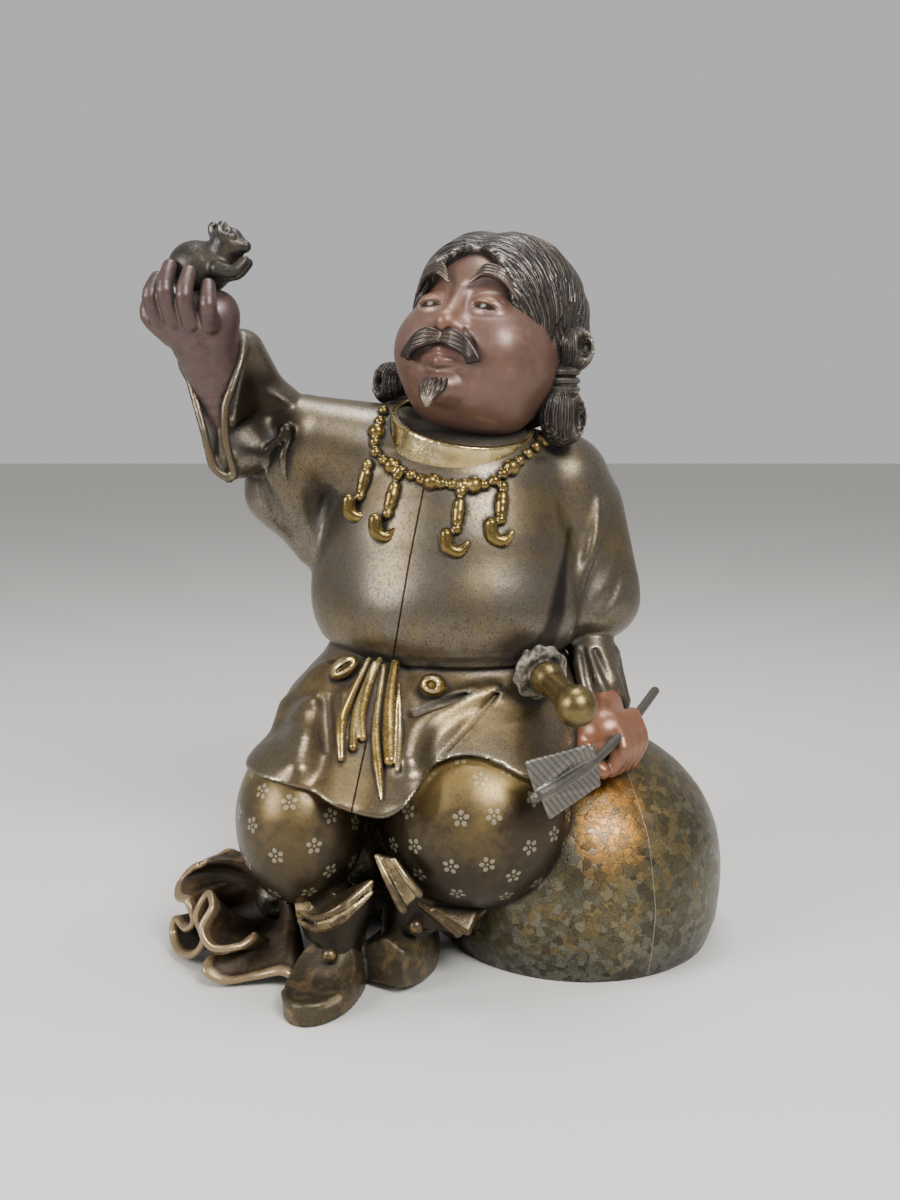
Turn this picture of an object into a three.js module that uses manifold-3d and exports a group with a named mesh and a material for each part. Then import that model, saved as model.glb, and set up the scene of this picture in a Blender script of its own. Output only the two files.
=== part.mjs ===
// A seated lucky-god figure on a full sack, holding up a mouse: one hollow metal casting, with the mouse,
// the sword hilt and the arrow cast on their own and set into it. Millimetres, +Z up, and the side that
// faces a viewer is -Y. Every form is a distance function: negative inside, positive outside. The forms
// are blended and carved as clay is, and each casting's surface is then drawn off them as one closed mesh.
import * as THREE from 'three';
import { mergeVertices } from 'three/addons/utils/BufferGeometryUtils.js';
import Module from 'manifold-3d';

// Driving sizes
const bodyTurn = -22;           // degrees that chest and lap turn towards the raised hand
const chest = { at: [-2, 2, 0], half: [60, 50] };
const head = { at: [17, -5, 258.5], turn: [-24, 4, -29], squeeze: [0.87, 0.96, 0.91] };
const sack = { at: [57, -2], half: [63, 65] };
const clothEdge = 2.6;          // how far one layer of cloth stands off the one below
const beadRadius = 2.4;
const insetGap = 0.35;          // room left around a casting that is set into another

const rad = THREE.MathUtils.degToRad;
const mix = THREE.MathUtils.lerp;
const clamp = THREE.MathUtils.clamp;

// Plain forms: each returns a function of a point that says how far outside the form it is.
const egg = ([cx, cy, cz], [rx, ry, rz]) => (x, y, z) => {
  const [px, py, pz] = [(x - cx) / rx, (y - cy) / ry, (z - cz) / rz];
  const near = Math.hypot(px, py, pz);
  const slope = Math.hypot(px / rx, py / ry, pz / rz);
  return slope < 1e-9 ? -Math.min(rx, ry, rz) : near * (near - 1) / slope;
};

const ball = (at, r) => egg(at, [r, r, r]);

const limb = (a, b, ra, rb) => {
  const [ux, uy, uz] = [b[0] - a[0], b[1] - a[1], b[2] - a[2]];
  const long = ux * ux + uy * uy + uz * uz;
  return (x, y, z) => {
    const [px, py, pz] = [x - a[0], y - a[1], z - a[2]];
    const t = clamp((px * ux + py * uy + pz * uz) / long, 0, 1);
    return Math.hypot(px - t * ux, py - t * uy, pz - t * uz) - mix(ra, rb, t);
  };
};

// Far from a small group of forms, the distance to the ball that holds the group is enough.
const cull = 14;
const near = ([cx, cy, cz], reach, form) => (x, y, z) => {
  const far = Math.hypot(x - cx, y - cy, z - cz) - reach;
  return far > cull ? far : form(x, y, z);
};

// A cord, finger or fold whose thickness changes along a smooth curve through the points.
const strand = (points, radii, steps = 4) => {
  const curve = new THREE.CatmullRomCurve3(points.map((p) => new THREE.Vector3(...p)));
  const count = (points.length - 1) * steps;
  const radiusAt = (i) => {
    const s = (i / count) * (radii.length - 1);
    const k = Math.min(Math.floor(s), radii.length - 2);
    return mix(radii[k], radii[k + 1], s - k);
  };
  const along = Array.from({ length: count + 1 }, (_, i) => curve.getPoint(i / count));
  const parts = along.slice(1).map((p, i) =>
    limb(along[i].toArray(), p.toArray(), radiusAt(i), radiusAt(i + 1)));
  const { center, radius } = new THREE.Sphere().setFromPoints(along);
  return near(center.toArray(), radius + Math.max(...radii), (x, y, z) => {
    let d = Infinity;
    for (const part of parts) d = Math.min(d, part(x, y, z));
    return d;
  });
};

// A flat sheet with three corners and a rounded edge.
const panel = (a, b, c, half) => {
  const triangle = new THREE.Triangle(...[a, b, c].map((p) => new THREE.Vector3(...p)));
  const point = new THREE.Vector3();
  const nearest = new THREE.Vector3();
  return (x, y, z) => {
    triangle.closestPointToPoint(point.set(x, y, z), nearest);
    return point.distanceTo(nearest) - half;
  };
};

const slab = ([cx, cy, cz], [hx, hy, hz], round) => (x, y, z) => {
  const qx = Math.abs(x - cx) - hx + round;
  const qy = Math.abs(y - cy) - hy + round;
  const qz = Math.abs(z - cz) - hz + round;
  return Math.hypot(Math.max(qx, 0), Math.max(qy, 0), Math.max(qz, 0))
    + Math.min(Math.max(qx, qy, qz), 0) - round;
};

// A smooth line through [t, value] stations, level beyond both ends.
const through = (stations) => (t) => {
  const last = stations.length - 1;
  if (t <= stations[0][0]) return stations[0][1];
  if (t >= stations[last][0]) return stations[last][1];
  const i = stations.findIndex(([s]) => s > t) - 1;
  const value = (k) => stations[clamp(k, 0, last)][1];
  const s = (t - stations[i][0]) / (stations[i + 1][0] - stations[i][0]);
  const [a, b, c, d] = [value(i - 1), value(i), value(i + 1), value(i + 2)];
  return b + 0.5 * s * (c - a + s * (2 * a - 5 * b + 4 * c - d + s * (3 * (b - c) + d - a)));
};

// An upright body of oval section, whose size follows the height by stations.
const barrel = ([cx, cy], [hx, hy], stations) => {
  const size = through(stations);
  const [low, high] = [stations[0][0], stations[stations.length - 1][0]];
  return (x, y, z) => {
    const slope = (size(z + 0.5) - size(z - 0.5)) * Math.min(hx, hy);
    const side = (Math.hypot((x - cx) / hx, (y - cy) / hy) - size(z)) * Math.min(hx, hy);
    return Math.max(side / Math.hypot(1, slope), low - z, z - high);
  };
};

// Ways to put forms together
const softMin = (a, b, k) => {
  const h = k > 0 ? Math.max(k - Math.abs(a - b), 0) / k : 0;
  return Math.min(a, b) - h * h * k / 4;
};
const melt = (k, ...forms) => (x, y, z) =>
  forms.reduce((d, form) => softMin(d, form(x, y, z), k), Infinity);
const carve = (k, body, ...tools) => (x, y, z) =>
  tools.reduce((d, tool) => -softMin(-d, tool(x, y, z), k), body(x, y, z));
const common = (k, a, b) => (x, y, z) => -softMin(-a(x, y, z), -b(x, y, z), k);
const grown = (form, by) => (x, y, z) => form(x, y, z) - by;
const halfSpace = ([ax, ay, az], [nx, ny, nz]) => (x, y, z) =>
  nx * (ax - x) + ny * (ay - y) + nz * (az - z);

const turned = (form, at, [rx, ry, rz]) => {
  const turn = new THREE.Euler(rad(rx), rad(ry), rad(rz), 'ZYX');
  const there = new THREE.Matrix4().makeRotationFromEuler(turn).setPosition(...at);
  const e = there.invert().elements;
  return (x, y, z) => form(
    e[0] * x + e[4] * y + e[8] * z + e[12],
    e[1] * x + e[5] * y + e[9] * z + e[13],
    e[2] * x + e[6] * y + e[10] * z + e[14]);
};

// The depth y at which a line from the viewer at (x, z) meets a form, less a lift.
const front = (form, x, z, lift = 0) => {
  let y = -125;
  for (let step = 0; step < 400; step += 1) {
    const d = form(x, y, z) - lift;
    if (d < 0.02) return y;
    y += Math.max(d * 0.5, 0.02);
  }
  return y;
};

// A ridge that follows the front of a form, or a crease if lift is below 0. Points are (x, z).
const laid = (form, points, radii, lift) => strand(
  points.map(([x, z], i) => [x, front(form, x, z) + Math.sign(lift) * radii[i] - lift, z]), radii);

// The big bodies
const upperTunic = () => {
  const bag = turned(
    barrel([0, 0], chest.half, [
      [127, 0.6], [130, 0.84], [134, 0.94], [142, 1], [152, 1.02], [166, 1], [182, 0.95],
      [196, 0.85], [207, 0.7], [216, 0.5], [224, 0.3],
    ]),
    chest.at, [0, 0, bodyTurn]);
  const nape = egg([6, 2, 207], [44, 34, 24]);
  const belly = egg([4, -22, 149], [47, 30, 28]);
  return melt(10, melt(16, bag, nape), belly);
};

const thighs = () => melt(8,
  egg([-61, -50, 67], [27, 36, 35]),
  turned(egg([0, 0, 0], [40, 36, 37]), [11, -48, 66], [0, 0, 10]),
  egg([-14, 4, 84], [58, 46, 30]));

// The hem hangs low between the knees and lies higher on top of them.
const hemHeight = through([
  [-92, 94], [-84, 91], [-76, 90.5], [-68, 90], [-60, 88.5], [-51, 86], [-41, 82], [-33, 79.5], [-25, 79],
  [-18, 83], [-12, 89], [-7, 94.5], [0, 97.5], [10, 98], [18, 95.5], [30, 89.5], [44, 84], [60, 80],
]);
const overHem = (x, y, z) => z - hemHeight(x) - clamp((y + 10) * 0.1, 0, 8);

const skirt = () => {
  const waist = turned(barrel([0, 0], chest.half, [
    [84, 1.32], [96, 1.27], [108, 1.18], [118, 1.04], [126, 0.92], [136, 0.84],
  ]), chest.at, [0, 0, bodyTurn]);
  const [hip, belt, side, outer] = [[-50, -28, 116], [-30, -36, 119], [24, -31, 121], [-64, -30, 106]];
  const [knee, left, right] = [[-70, -58, 82], [-46, -78, 77], [-13, -83, 78]];
  const apron = melt(8,
    panel(hip, belt, left, 9), panel(hip, knee, left, 9), panel(belt, left, right, 9),
    panel(belt, side, right, 8), panel(hip, outer, knee, 9));
  const lap = melt(2.5, melt(14, grown(thighs(), clothEdge), waist), apron);
  const ridges = [
    laid(lap, [[18, 120], [6, 116], [-4, 111], [-12, 105], [-16, 97]], [1.5, 3.5, 4.5, 5, 4], 2),
    laid(lap, [[-57, 112], [-59, 106], [-58, 100], [-59, 94]], [3, 6, 6, 5], 1.8),
    laid(lap, [[-44, 116], [-43, 111], [-42, 104]], [2, 3.4, 2], 0.9),
  ];
  const valleys = [
    laid(lap, [[9, 118.5], [-3, 115.5], [-14, 112]], [1, 2.4, 1.4], -1.1),
    laid(lap, [[-51, 116], [-49.5, 108], [-48, 101]], [2, 3, 2], -1.2),
  ];
  return carve(0.6, carve(2.5, melt(6, lap, ...ridges), ...valleys), overHem);
};

// The legs' cloth stops a little way up under the skirt.
const trousers = () => {
  const cuffs = [
    turned(barrel([0, 0], [18, 15], [[-12, 0.6], [-6, 0.76], [0, 0.84], [9, 0.92]]),
      [-47, -60, 30], [-14, 8, 0]),
    turned(barrel([0, 0], [22, 16], [[-9, 0.8], [-3, 0.86], [8, 0.92]]),
      [-9, -48, 29], [-12, 8, 0]),
  ];
  const ankles = [
    limb([-47, -58, 32], [-45, -66, 8], 11, 9.5),
    limb([-14, -46, 32], [-19, -54, 10], 12, 11),
  ];
  const legs = melt(3, thighs(), melt(1.2, ...cuffs), ...ankles);
  return carve(0, legs, (x, y, z) => 4 - overHem(x, y, z));
};

// Blunt toe: the top slopes down from the ankle and rises a little to the toe's rim.
const rightShoe = () => {
  const body = common(2, egg([0, -11, 3], [14.5, 27, 21]), slab([0, -10, 7], [14.5, 30, 12], 4));
  const topped = carve(1, body, limb([-40, -31, 43], [40, -28, 45], 36.5, 36.5));
  const vamp = limb([0, -6, 7], [0, 6, 15], 9, 11);
  const rim = strand(
    [[-11.6, -26, 7], [-6.5, -33, 6.6], [0, -35.6, 6.8], [6.5, -33.4, 7.4], [11.8, -26, 8.6]],
    [0.8, 1.3, 1.3, 1.3, 0.8]);
  return turned(melt(2, melt(3, topped, vamp), rim), [-47, -65, 0.5], [0, 0, -16]);
};

// The toe is raised: two faces slope down from a ridge, and end at a flat front.
const leftShoe = () => {
  const body = common(2, egg([0, -11, 6], [15.5, 27, 20]), slab([0, -10, 10], [15, 30, 13], 3));
  const roofed = carve(0.7, body,
    halfSpace([2, -28, 17], [0.42, -0.16, 0.88]),
    halfSpace([2, -28, 17], [-0.5, -0.1, 0.84]),
    halfSpace([0, -28, 14], [-0.2, -0.97, -0.1]));
  return turned(melt(3, roofed, limb([0, -6, 9], [0, 6, 24], 9, 11)), [-18, -46, 2], [-9, 0, -22]);
};

const kneeTies = () => {
  const bands = [0, 1].map((i) => strand([
    [-61, -68, 33 - i * 4.2], [-52, -79, 35 - i * 4.4], [-42, -83, 41 - i * 4.4], [-31, -77, 49 - i * 4.2],
  ], [0.9, 2, 2, 1]));
  const under = panel([-60, -66, 31], [-32, -75, 47], [-46, -79, 36], 2);
  const [top, foot, corner] = [[-28, -77, 59], [-18.5, -81, 41], [-12.5, -79.5, 46]];
  const tie = melt(0.6,
    panel(top, foot, corner, 1.6), panel(top, [-22, -78, 58], corner, 1.6),
    strand([[-29, -78, 60], [-23.5, -82, 50], [-18.5, -83, 40]], [1, 1.7, 1.9]),
    strand([[-22, -79, 59], [-17, -81.5, 52], [-12, -81, 45.5]], [0.9, 1.4, 1.6]));
  const flap = melt(0.4,
    panel([-62, -66, 39], [-61, -67, 31], [-55, -70, 33], 1.4),
    panel([-62, -66, 39], [-57, -69, 38], [-55, -70, 33], 1.4));
  const frill = melt(0.8,
    panel([-12, -60, 33], [14, -58, 30], [3, -66, 23], 1.9),
    panel([-6, -62, 31], [10, -62, 30], [7, -67, 24.5], 2));
  return melt(0.5, ...bands, under, tie, flap, frill, ball([-48, -76, 18], 3.4), ball([-14, -66, 26], 3.4));
};

const sackBody = () => {
  const bag = melt(20,
    barrel(sack.at, sack.half, [
      [-6, 0.9], [2, 0.95], [12, 1], [32, 1.02], [50, 0.98], [64, 0.88], [76, 0.72], [86, 0.5], [93, 0.2],
    ]),
    egg([4, 20, 43], [66, 44, 46]),
    egg([-46, 8, 32], [34, 28, 30]));
  const neck = strand([[-50, -6, 32], [-64, -18, 26.5], [-76, -26, 22]], [24, 14, 9]);
  const gathers = [0, 1, 2, 3, 4, 5].map((i) => {
    const turn = rad(-170 + i * 60);
    const ringAt = ([x, y, z], r) => [x, y + r * Math.cos(turn), z + r * Math.sin(turn)];
    return strand(
      [ringAt([-76, -26, 22], 9.5), ringAt([-64, -18, 26.5], 15), ringAt([-50, -6, 32], 25)],
      [2, 2.2, 0.8]);
  });
  return carve(3, melt(10, bag, neck), ...gathers);
};

// The sack's mouth: cloth gathered at the tie that opens out in folds. The rim's line is a closed loop.
const mouthWall = 3.6;
const mouthTie = { at: [-76, -27, 21], radius: 9 };
const mouthRim = [
  [-96, -16, 39], [-103, -20, 38], [-108, -28, 38], [-114, -24, 34], [-119, -24, 28], [-118, -34, 25],
  [-112, -42, 26], [-109, -44, 18], [-114, -38, 12], [-120, -31, 14], [-121.5, -32, 7], [-117, -42, 3.5],
  [-109, -50, 6], [-104, -51, 13], [-106, -55, 26], [-101, -54, 36], [-98, -61, 33], [-102, -66, 25],
  [-97, -69, 18], [-86, -67, 18], [-81, -61, 20], [-88, -59, 14], [-99, -61, 11], [-101, -67, 6.5],
  [-93, -69, 2.4], [-80, -68, 4], [-69, -69, 6.5], [-62, -69, 3.5], [-60, -58, 5.5], [-67, -44, 6],
  [-75, -24, 8], [-84, -12, 25],
].map((p) => new THREE.Vector3(...p));

const sackMouth = () => {
  const closed = (points) => new THREE.CatmullRomCurve3(points, true);
  const summed = (points, weights) =>
    points.reduce((sum, p, k) => sum.addScaledVector(p, weights[k]), new THREE.Vector3());
  const count = mouthRim.length;
  const evening = [1, 2, 3, 4, 4, 4, 3, 2, 1].map((weight) => weight / 24);
  const evened = mouthRim.map((_, i) =>
    summed(evening.map((__, k) => mouthRim[(i + k - 4 + count) % count]), evening));
  const [folded, even] = [closed(mouthRim), closed(evened)];
  const tie = new THREE.Vector3(...mouthTie.at);
  const axis = summed(evened, evened.map(() => 1 / count)).sub(tie).normalize();
  const left = axis.clone().cross(new THREE.Vector3(0, 0, 1)).normalize();
  const up = left.clone().cross(axis);
  const along = 5;
  const around = 64;
  const at = (i, j) => {
    const [u, v] = [(i % around) / around, j / along];
    const turn = 2 * Math.PI * u;
    const spoke = up.clone().multiplyScalar(Math.cos(turn)).addScaledVector(left, Math.sin(turn));
    const root = tie.clone().addScaledVector(spoke, mouthTie.radius);
    const plain = even.getPoint(u);
    const fold = folded.getPoint(u).sub(plain).multiplyScalar(v ** 1.5);
    return root.lerp(plain, v).add(fold).addScaledVector(spoke, 5 * Math.sin(Math.PI * v)).toArray();
  };
  const sheets = [];
  for (let j = 0; j < along; j += 1) {
    for (let i = 0; i < around; i += 1) {
      const [a, b, c, d] = [at(i, j), at(i + 1, j), at(i + 1, j + 1), at(i, j + 1)];
      const corners = [a, b, c, d].map((p) => new THREE.Vector3(...p));
      const { center, radius } = new THREE.Sphere().setFromPoints(corners);
      const half = mouthWall / 2;
      const patch = melt(0, panel(a, b, c, half), panel(a, c, d, half));
      sheets.push(near(center.toArray(), radius + half, patch));
    }
  }
  return (x, y, z) => {
    let d = Infinity;
    for (const sheet of sheets) d = Math.min(d, sheet(x, y, z));
    return d;
  };
};

// Sleeves and hands
const leftSleeve = () => {
  const upper = melt(8,
    limb([47, 4, 200], [60, 3, 156], 23, 22),
    limb([63, 6, 190], [73, 3, 148], 12, 9),
    egg([59, 1, 148], [21, 22, 18]));
  const creases = [
    strand([[60, -24, 196], [55, -26, 180], [49, -27, 162], [42, -30, 138]], [0.6, 2.5, 4, 5]),
    strand([[67, -21, 190], [65, -23, 175], [58, -25, 156], [52, -25, 145]], [0.4, 1.6, 2.6, 2]),
    strand([[74, -14, 172], [71, -18, 160], [64, -22, 148]], [0.3, 1.4, 2]),
  ];
  const ridges = [
    strand([[63, -17.5, 192], [60.5, -19, 176], [54, -20.5, 160], [49, -20, 148]], [1.5, 2.4, 2.6, 1.6]),
    strand([[70, -13, 170], [66, -16, 156], [58, -18, 145]], [1.4, 2.4, 2]),
  ];
  const cuff = melt(3,
    limb([63, -8, 132], [64, -20, 114], 11.5, 12),
    panel([55, -22, 126], [74, -17, 107], [59, -31, 111], 2.6),
    panel([71, -12, 128], [76, -15, 107], [66, -2, 112], 2.6));
  return melt(1.5, melt(3, carve(4, upper, ...creases), ...ridges), cuff, ball([70, -10, 128], 3.6));
};

// The raised sleeve: a cuff that opens towards the viewer down to a point, its two lips, and a hanging pouch.
const rightSleeve = () => {
  const shoulder = melt(12,
    limb([-26, 2, 210], [-62, -4, 221], 25, 18),
    limb([-73, -5, 214], [-74, -3, 197], 14, 12),
    limb([-73, -3, 197], [-59, 2, 174], 12.5, 10));
  const creases = [
    strand([[-34, -27, 229], [-43, -29, 208], [-52, -27, 191], [-57, -17, 174]], [1, 2, 3, 4]),
    strand([[-68, -24, 214], [-72, -20, 200], [-64, -14, 180]], [1.5, 3, 2]),
    strand([[-60, -24, 212], [-63, -20, 196], [-60, -14, 182]], [0.8, 1.8, 1.2]),
  ];
  const [top, outer, tip, elbow] = [[-87, -15, 256], [-104, -15, 253], [-92, -21, 213], [-74, -7, 229]];
  const bell = melt(6,
    panel(top, tip, elbow, 8.5), panel(outer, tip, elbow, 7.5), panel(top, outer, elbow, 8.5),
    ball(elbow, 14), egg([-83, -19, 215], [10, 9, 9]));
  const inFront = halfSpace([-95, -31, 235], [0.13, -0.98, 0.15]);
  const mouth = melt(5,
    limb([-97, -46, 252], [-92, -16, 243], 11.5, 7),
    limb([-94.5, -46, 243], [-89, -20, 238], 7, 5));
  const trough = strand([[-96, -41, 236], [-95.5, -38, 222], [-93.5, -35, 208]], [3, 4, 2.5]);
  const fold = strand([[-66, -22, 231], [-73, -26, 231], [-78, -28, 237], [-80, -27, 247]], [4, 8, 6.5, 3]);
  const lips = [
    strand([[-86, -20, 263], [-84.5, -28, 255], [-88, -33, 242], [-91, -35, 233], [-91, -35, 220],
      [-88.5, -30, 206]], [2, 2.2, 2.4, 2.4, 2.2, 2]),
    strand([[-111, -22, 259], [-105.5, -28, 242], [-100.5, -32, 225], [-97, -31, 210], [-91, -30, 204.5]],
      [1.8, 2, 2, 2, 2]),
  ];
  const wall = panel([-84.5, -23, 258], [-89, -31, 227], [-78, -16, 238], 2.6);
  const cuff = melt(1.5, carve(1.5, carve(4, carve(1, bell, inFront), fold), mouth, trough), wall, ...lips);
  return melt(2, carve(3.5, shoulder, ...creases), cuff, ball([-68, -23, 224], 3.4));
};

const raisedHand = () => {
  const fingers = [
    [[-116, -34, 268], [-118.5, -39, 277], [-116.5, -35, 284.5]],
    [[-109.5, -38, 268], [-112, -43, 279], [-111, -37, 289]],
    [[-102.5, -40, 267], [-104, -45, 277], [-103, -39, 286.5]],
    [[-95.5, -39, 266], [-95, -44, 273.5], [-95.5, -39, 281.5]],
    [[-113, -30, 262], [-121.5, -30, 270], [-121, -27, 278]],
  ].map((joints) => strand(joints, [4, 3.5, 2.9]));
  const palm = melt(6,
    egg([-104, -31, 269], [15, 9.5, 11]),
    strand([[-95, -22, 226], [-96, -24, 243], [-99, -27, 258]], [6, 10.5, 13.5]),
    egg([-93, -30, 271], [8, 7, 9]));
  return melt(1.6, palm, ...fingers);
};

const restingHand = () => {
  const palm = melt(5, egg([63, -43, 100], [11.5, 10.5, 11]), limb([65, -20, 112], [65, -40, 102], 8, 9));
  const fingers = [0, 1, 2, 3].map((i) => strand(
    [[67 + i * 3, -46 + i * 3, 106], [70 + i * 3, -54 + i * 4.5, 97], [66 + i * 3.2, -52 + i * 4, 87.5]],
    [3.8, 3.7, 3.2]));
  const thumb = strand([[56, -44, 100], [56, -52, 93], [62, -56, 88]], [4.2, 4, 3.2]);
  return melt(1.4, palm, thumb, ...fingers);
};

// Face and hair are made looking straight ahead along -y, then turned together.
const bothSides = (make) => [make(-1), make(1)];

const squeezed = (form, [wide, deep, tall]) => {
  const least = Math.min(wide, deep, tall);
  return (x, y, z) => least * form(x / wide, y / deep, z / tall);
};

const face = () => {
  const skull = melt(14,
    egg([0, 4, 14], [37, 40, 34]),
    egg([0, -4, -12], [37, 33, 28]),
    egg([0, -8, -32], [25, 24, 12]),
    ...bothSides((s) => ball([s * 19, -20, -12], 15)));
  const sockets = bothSides((s) => egg([s * 14, -41, 4], [9.5, 6, 5.5]));
  const eyes = bothSides((s) => egg([s * 14, -32, 3], [8.5, 6, 5.6]));
  const lids = bothSides((s) => strand(
    [[s * 6.5, -36.5, 2.5], [s * 13.5, -38.4, 6.2], [s * 21.5, -33.6, 2]], [0.9, 1.3, 0.9]));
  const nose = melt(3,
    limb([0, -35, 9], [0, -39.5, -7], 3.2, 4.4),
    ball([0, -41, -9], 5.2),
    ...bothSides((s) => ball([s * 5.6, -38, -10.5], 3.8)));
  const lips = melt(1.4,
    strand([[-9.5, -35, -21.5], [0, -38.6, -21], [9.5, -35, -21.5]], [1.4, 2.6, 1.4]),
    strand([[-8.5, -35, -24], [0, -38.2, -26], [8.5, -35, -24]], [1.4, 3, 1.4]));
  const chin = egg([0, -31, -35], [10, 7.5, 7]);
  const moustache = bothSides((s) => strand(
    [[s * 2, -42, -16.5], [s * 10.5, -41, -18.5], [s * 18.5, -37, -25]], [2.8, 3.6, 2.4]));
  const brows = bothSides((s) => strand(
    [[s * 7, -38.5, 14], [s * 15, -38, 17.5], [s * 25, -31, 12]], [1.9, 2.8, 1.8]));
  const beard = strand([[0, -38, -35], [0, -39, -40.5], [0, -38, -47]], [4.6, 4.4, 1.6]);
  const flesh = melt(3, melt(4, carve(5, skull, ...sockets), nose, chin), ...eyes, lips);
  return squeezed(melt(0.8, flesh, ...lids, ...moustache, ...brows, beard), head.squeeze);
};

const hair = () => {
  const cap = melt(4,
    melt(1.5, ...bothSides((s) => egg([s * 7, 5, 14], [29, 42.5, 36]))),
    egg([-1, 12, -6], [34, 30, 26]));
  const brow = common(2, ...bothSides((s) => egg([s * -6, -50, -9], [33.5, 42, 42])));
  const parting = strand([[0, -38, 34], [0, -30, 44], [0, -12, 51], [0, 24, 48]], [1.2, 1.8, 2, 1]);
  const lowerEdge = halfSpace([0, -6, -24], [0, -0.55, -0.84]);
  const locks = 26;
  const bunHeight = -16;
  const combed = (x, y, z) => {
    const groove = Math.abs(Math.cos(Math.atan2(y - 2, z - bunHeight) * locks / 2)) ** 3;
    return cap(x, y, z) + 0.8 * clamp(Math.abs(x) / 14, 0.15, 1) * groove;
  };
  return carve(2, carve(2.5, combed, brow, lowerEdge), parting);
};

const ring = (radius, thick, height) => (x, y, z) =>
  Math.hypot(Math.hypot(x, y) - radius, z - height) - thick;

const hairKnot = (side) => {
  const upper = carve(1.5, egg([side * 4, 0, 11], [8.5, 8, 9.5]), egg([side * 9, -6, 12], [3, 9, 5]));
  const lower = carve(1.5, egg([0, -2, -17], [10, 8.5, 12.5]), egg([side * 7, -7, -17], [2.2, 9, 7.5]));
  const locks = 12;
  const combed = (form) => (x, y, z) => form(x, y, z) + 0.4 * Math.cos(Math.atan2(y, x) * locks);
  const ties = [1, -4].map((z) => ring(5, 2, z));
  return melt(1, combed(upper), combed(lower), limb([0, 0, 4], [0, 0, -8], 4.6, 4.6), ...ties);
};

const wholeHead = () => melt(0.8,
  turned(melt(0.8, face(), hair()), head.at, head.turn),
  turned(hairKnot(1), [47.5, -17, 246.5], [0, 0, -12]),
  turned(hairKnot(-1), [-22, 8, 232.5], [0, 0, -12]));

const collar = () => {
  const [across, deep] = [32, 30.5];
  const band = carve(0.5,
    barrel([0, 0], [across, deep], [[-9, 1.06], [0, 1], [7, 0.95]]),
    barrel([0, 0], [across - 3.5, deep - 3.5], [[0, 1], [9, 0.97]]));
  return turned(band, [4.5, -8, 221.5], [20, 8, 0]);
};

// What the cloth carries: these lie on it, at the depth where the cloth meets the line from the viewer.
const necklace = (cloth) => {
  const onCloth = (x, z) => [x, front(cloth, x, z, 0.8), z];
  const line = new THREE.CatmullRomCurve3([
    [-28, 232], [-31, 221], [-30, 214], [-20, 208], [-8, 204],
    [4, 203], [15, 203], [23, 208], [31, 214], [39, 220],
  ].map(([x, z]) => new THREE.Vector3(x, 0, z)));
  const count = 22;
  const beads = Array.from({ length: count + 1 }, (_, i) => {
    const { x, z } = line.getPointAt(i / count);
    return ball(onCloth(x, z), beadRadius * (i % 4 === 2 ? 1.5 : 1));
  });
  const drops = [[-34, 210, -38.5, 192], [-21.5, 206, -27, 185], [4.5, 200, 2, 180], [21.5, 202, 20, 184]];
  for (const [x0, z0, x1, z1] of drops) {
    const at = (t) => onCloth(mix(x0, x1, t), mix(z0, z1, t));
    beads.push(ball(at(0), beadRadius), limb(at(0.22), at(0.55), 2.6, 2.6), ball(at(0.72), beadRadius));
    const [cx, cy, cz] = at(1);
    beads.push(strand(
      [[cx - 3.5, cy, cz + 3.5], [cx - 3, cy, cz - 1.5], [cx + 1.5, cy, cz - 3.5], [cx + 5, cy, cz]],
      [2.8, 3, 2.6, 1.3]));
  }
  return melt(0.8, ...beads);
};

// Ends of the sash: (x, z) along each, and half widths.
const sashTails = [
  [[[-33.5, 131], [-40, 118], [-43, 110], [-42.5, 98.5]], [1.2, 2, 2.4, 1.6]],
  [[[-31, 130], [-37.4, 113.5], [-38, 102]], [1.2, 1.8, 1.9]],
  [[[-29, 131], [-33.7, 120], [-35.3, 111.5], [-34.6, 105]], [1.2, 1.9, 2, 1.8]],
  [[[-27, 129], [-29, 114], [-29.3, 106], [-28, 96.5], [-26.2, 86]], [1.2, 1.6, 1.8, 2.2, 1]],
  [[[-22.5, 130], [-24, 117], [-23.7, 106.5], [-23.2, 98.5]], [1.8, 2.6, 3, 2.4]],
  [[[-20.7, 122.5], [-19.8, 107], [-20.4, 96]], [1, 1.5, 1.3]],
];

const sash = (cloth) => {
  const onCloth = (x, z, lift) => [x, front(cloth, x, z, lift), z];
  const tails = sashTails.map(([points, radii]) =>
    strand(points.map(([x, z]) => onCloth(x, z, 1.3)), radii));
  const loop = (x, z, tilt, size, hole, holeAt) =>
    turned(carve(0.5, egg([0, 0, 0], size), egg(holeAt, hole)), onCloth(x, z, 3), [0, -tilt, 0]);
  return melt(0.5, ...tails,
    loop(-43.6, 127.5, 35, [6.8, 4.8, 4.2], [4.6, 3, 1.1], [0.8, -4.1, 0.9]),
    loop(-6.8, 122.3, -10, [5.8, 4.8, 5], [2.3, 3.4, 2], [-1, -4.1, 1]));
};

const scabbard = () => limb([37, -40, 129], [30, 58, 120], 7, 5);

const tunic = melt(5, upperTunic(),
  near([62, 0, 165], 66, leftSleeve()),
  near([-72, -8, 214], 62, rightSleeve()));
const clothes = melt(0.6, tunic, melt(0.8, skirt(), trousers()));

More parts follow.
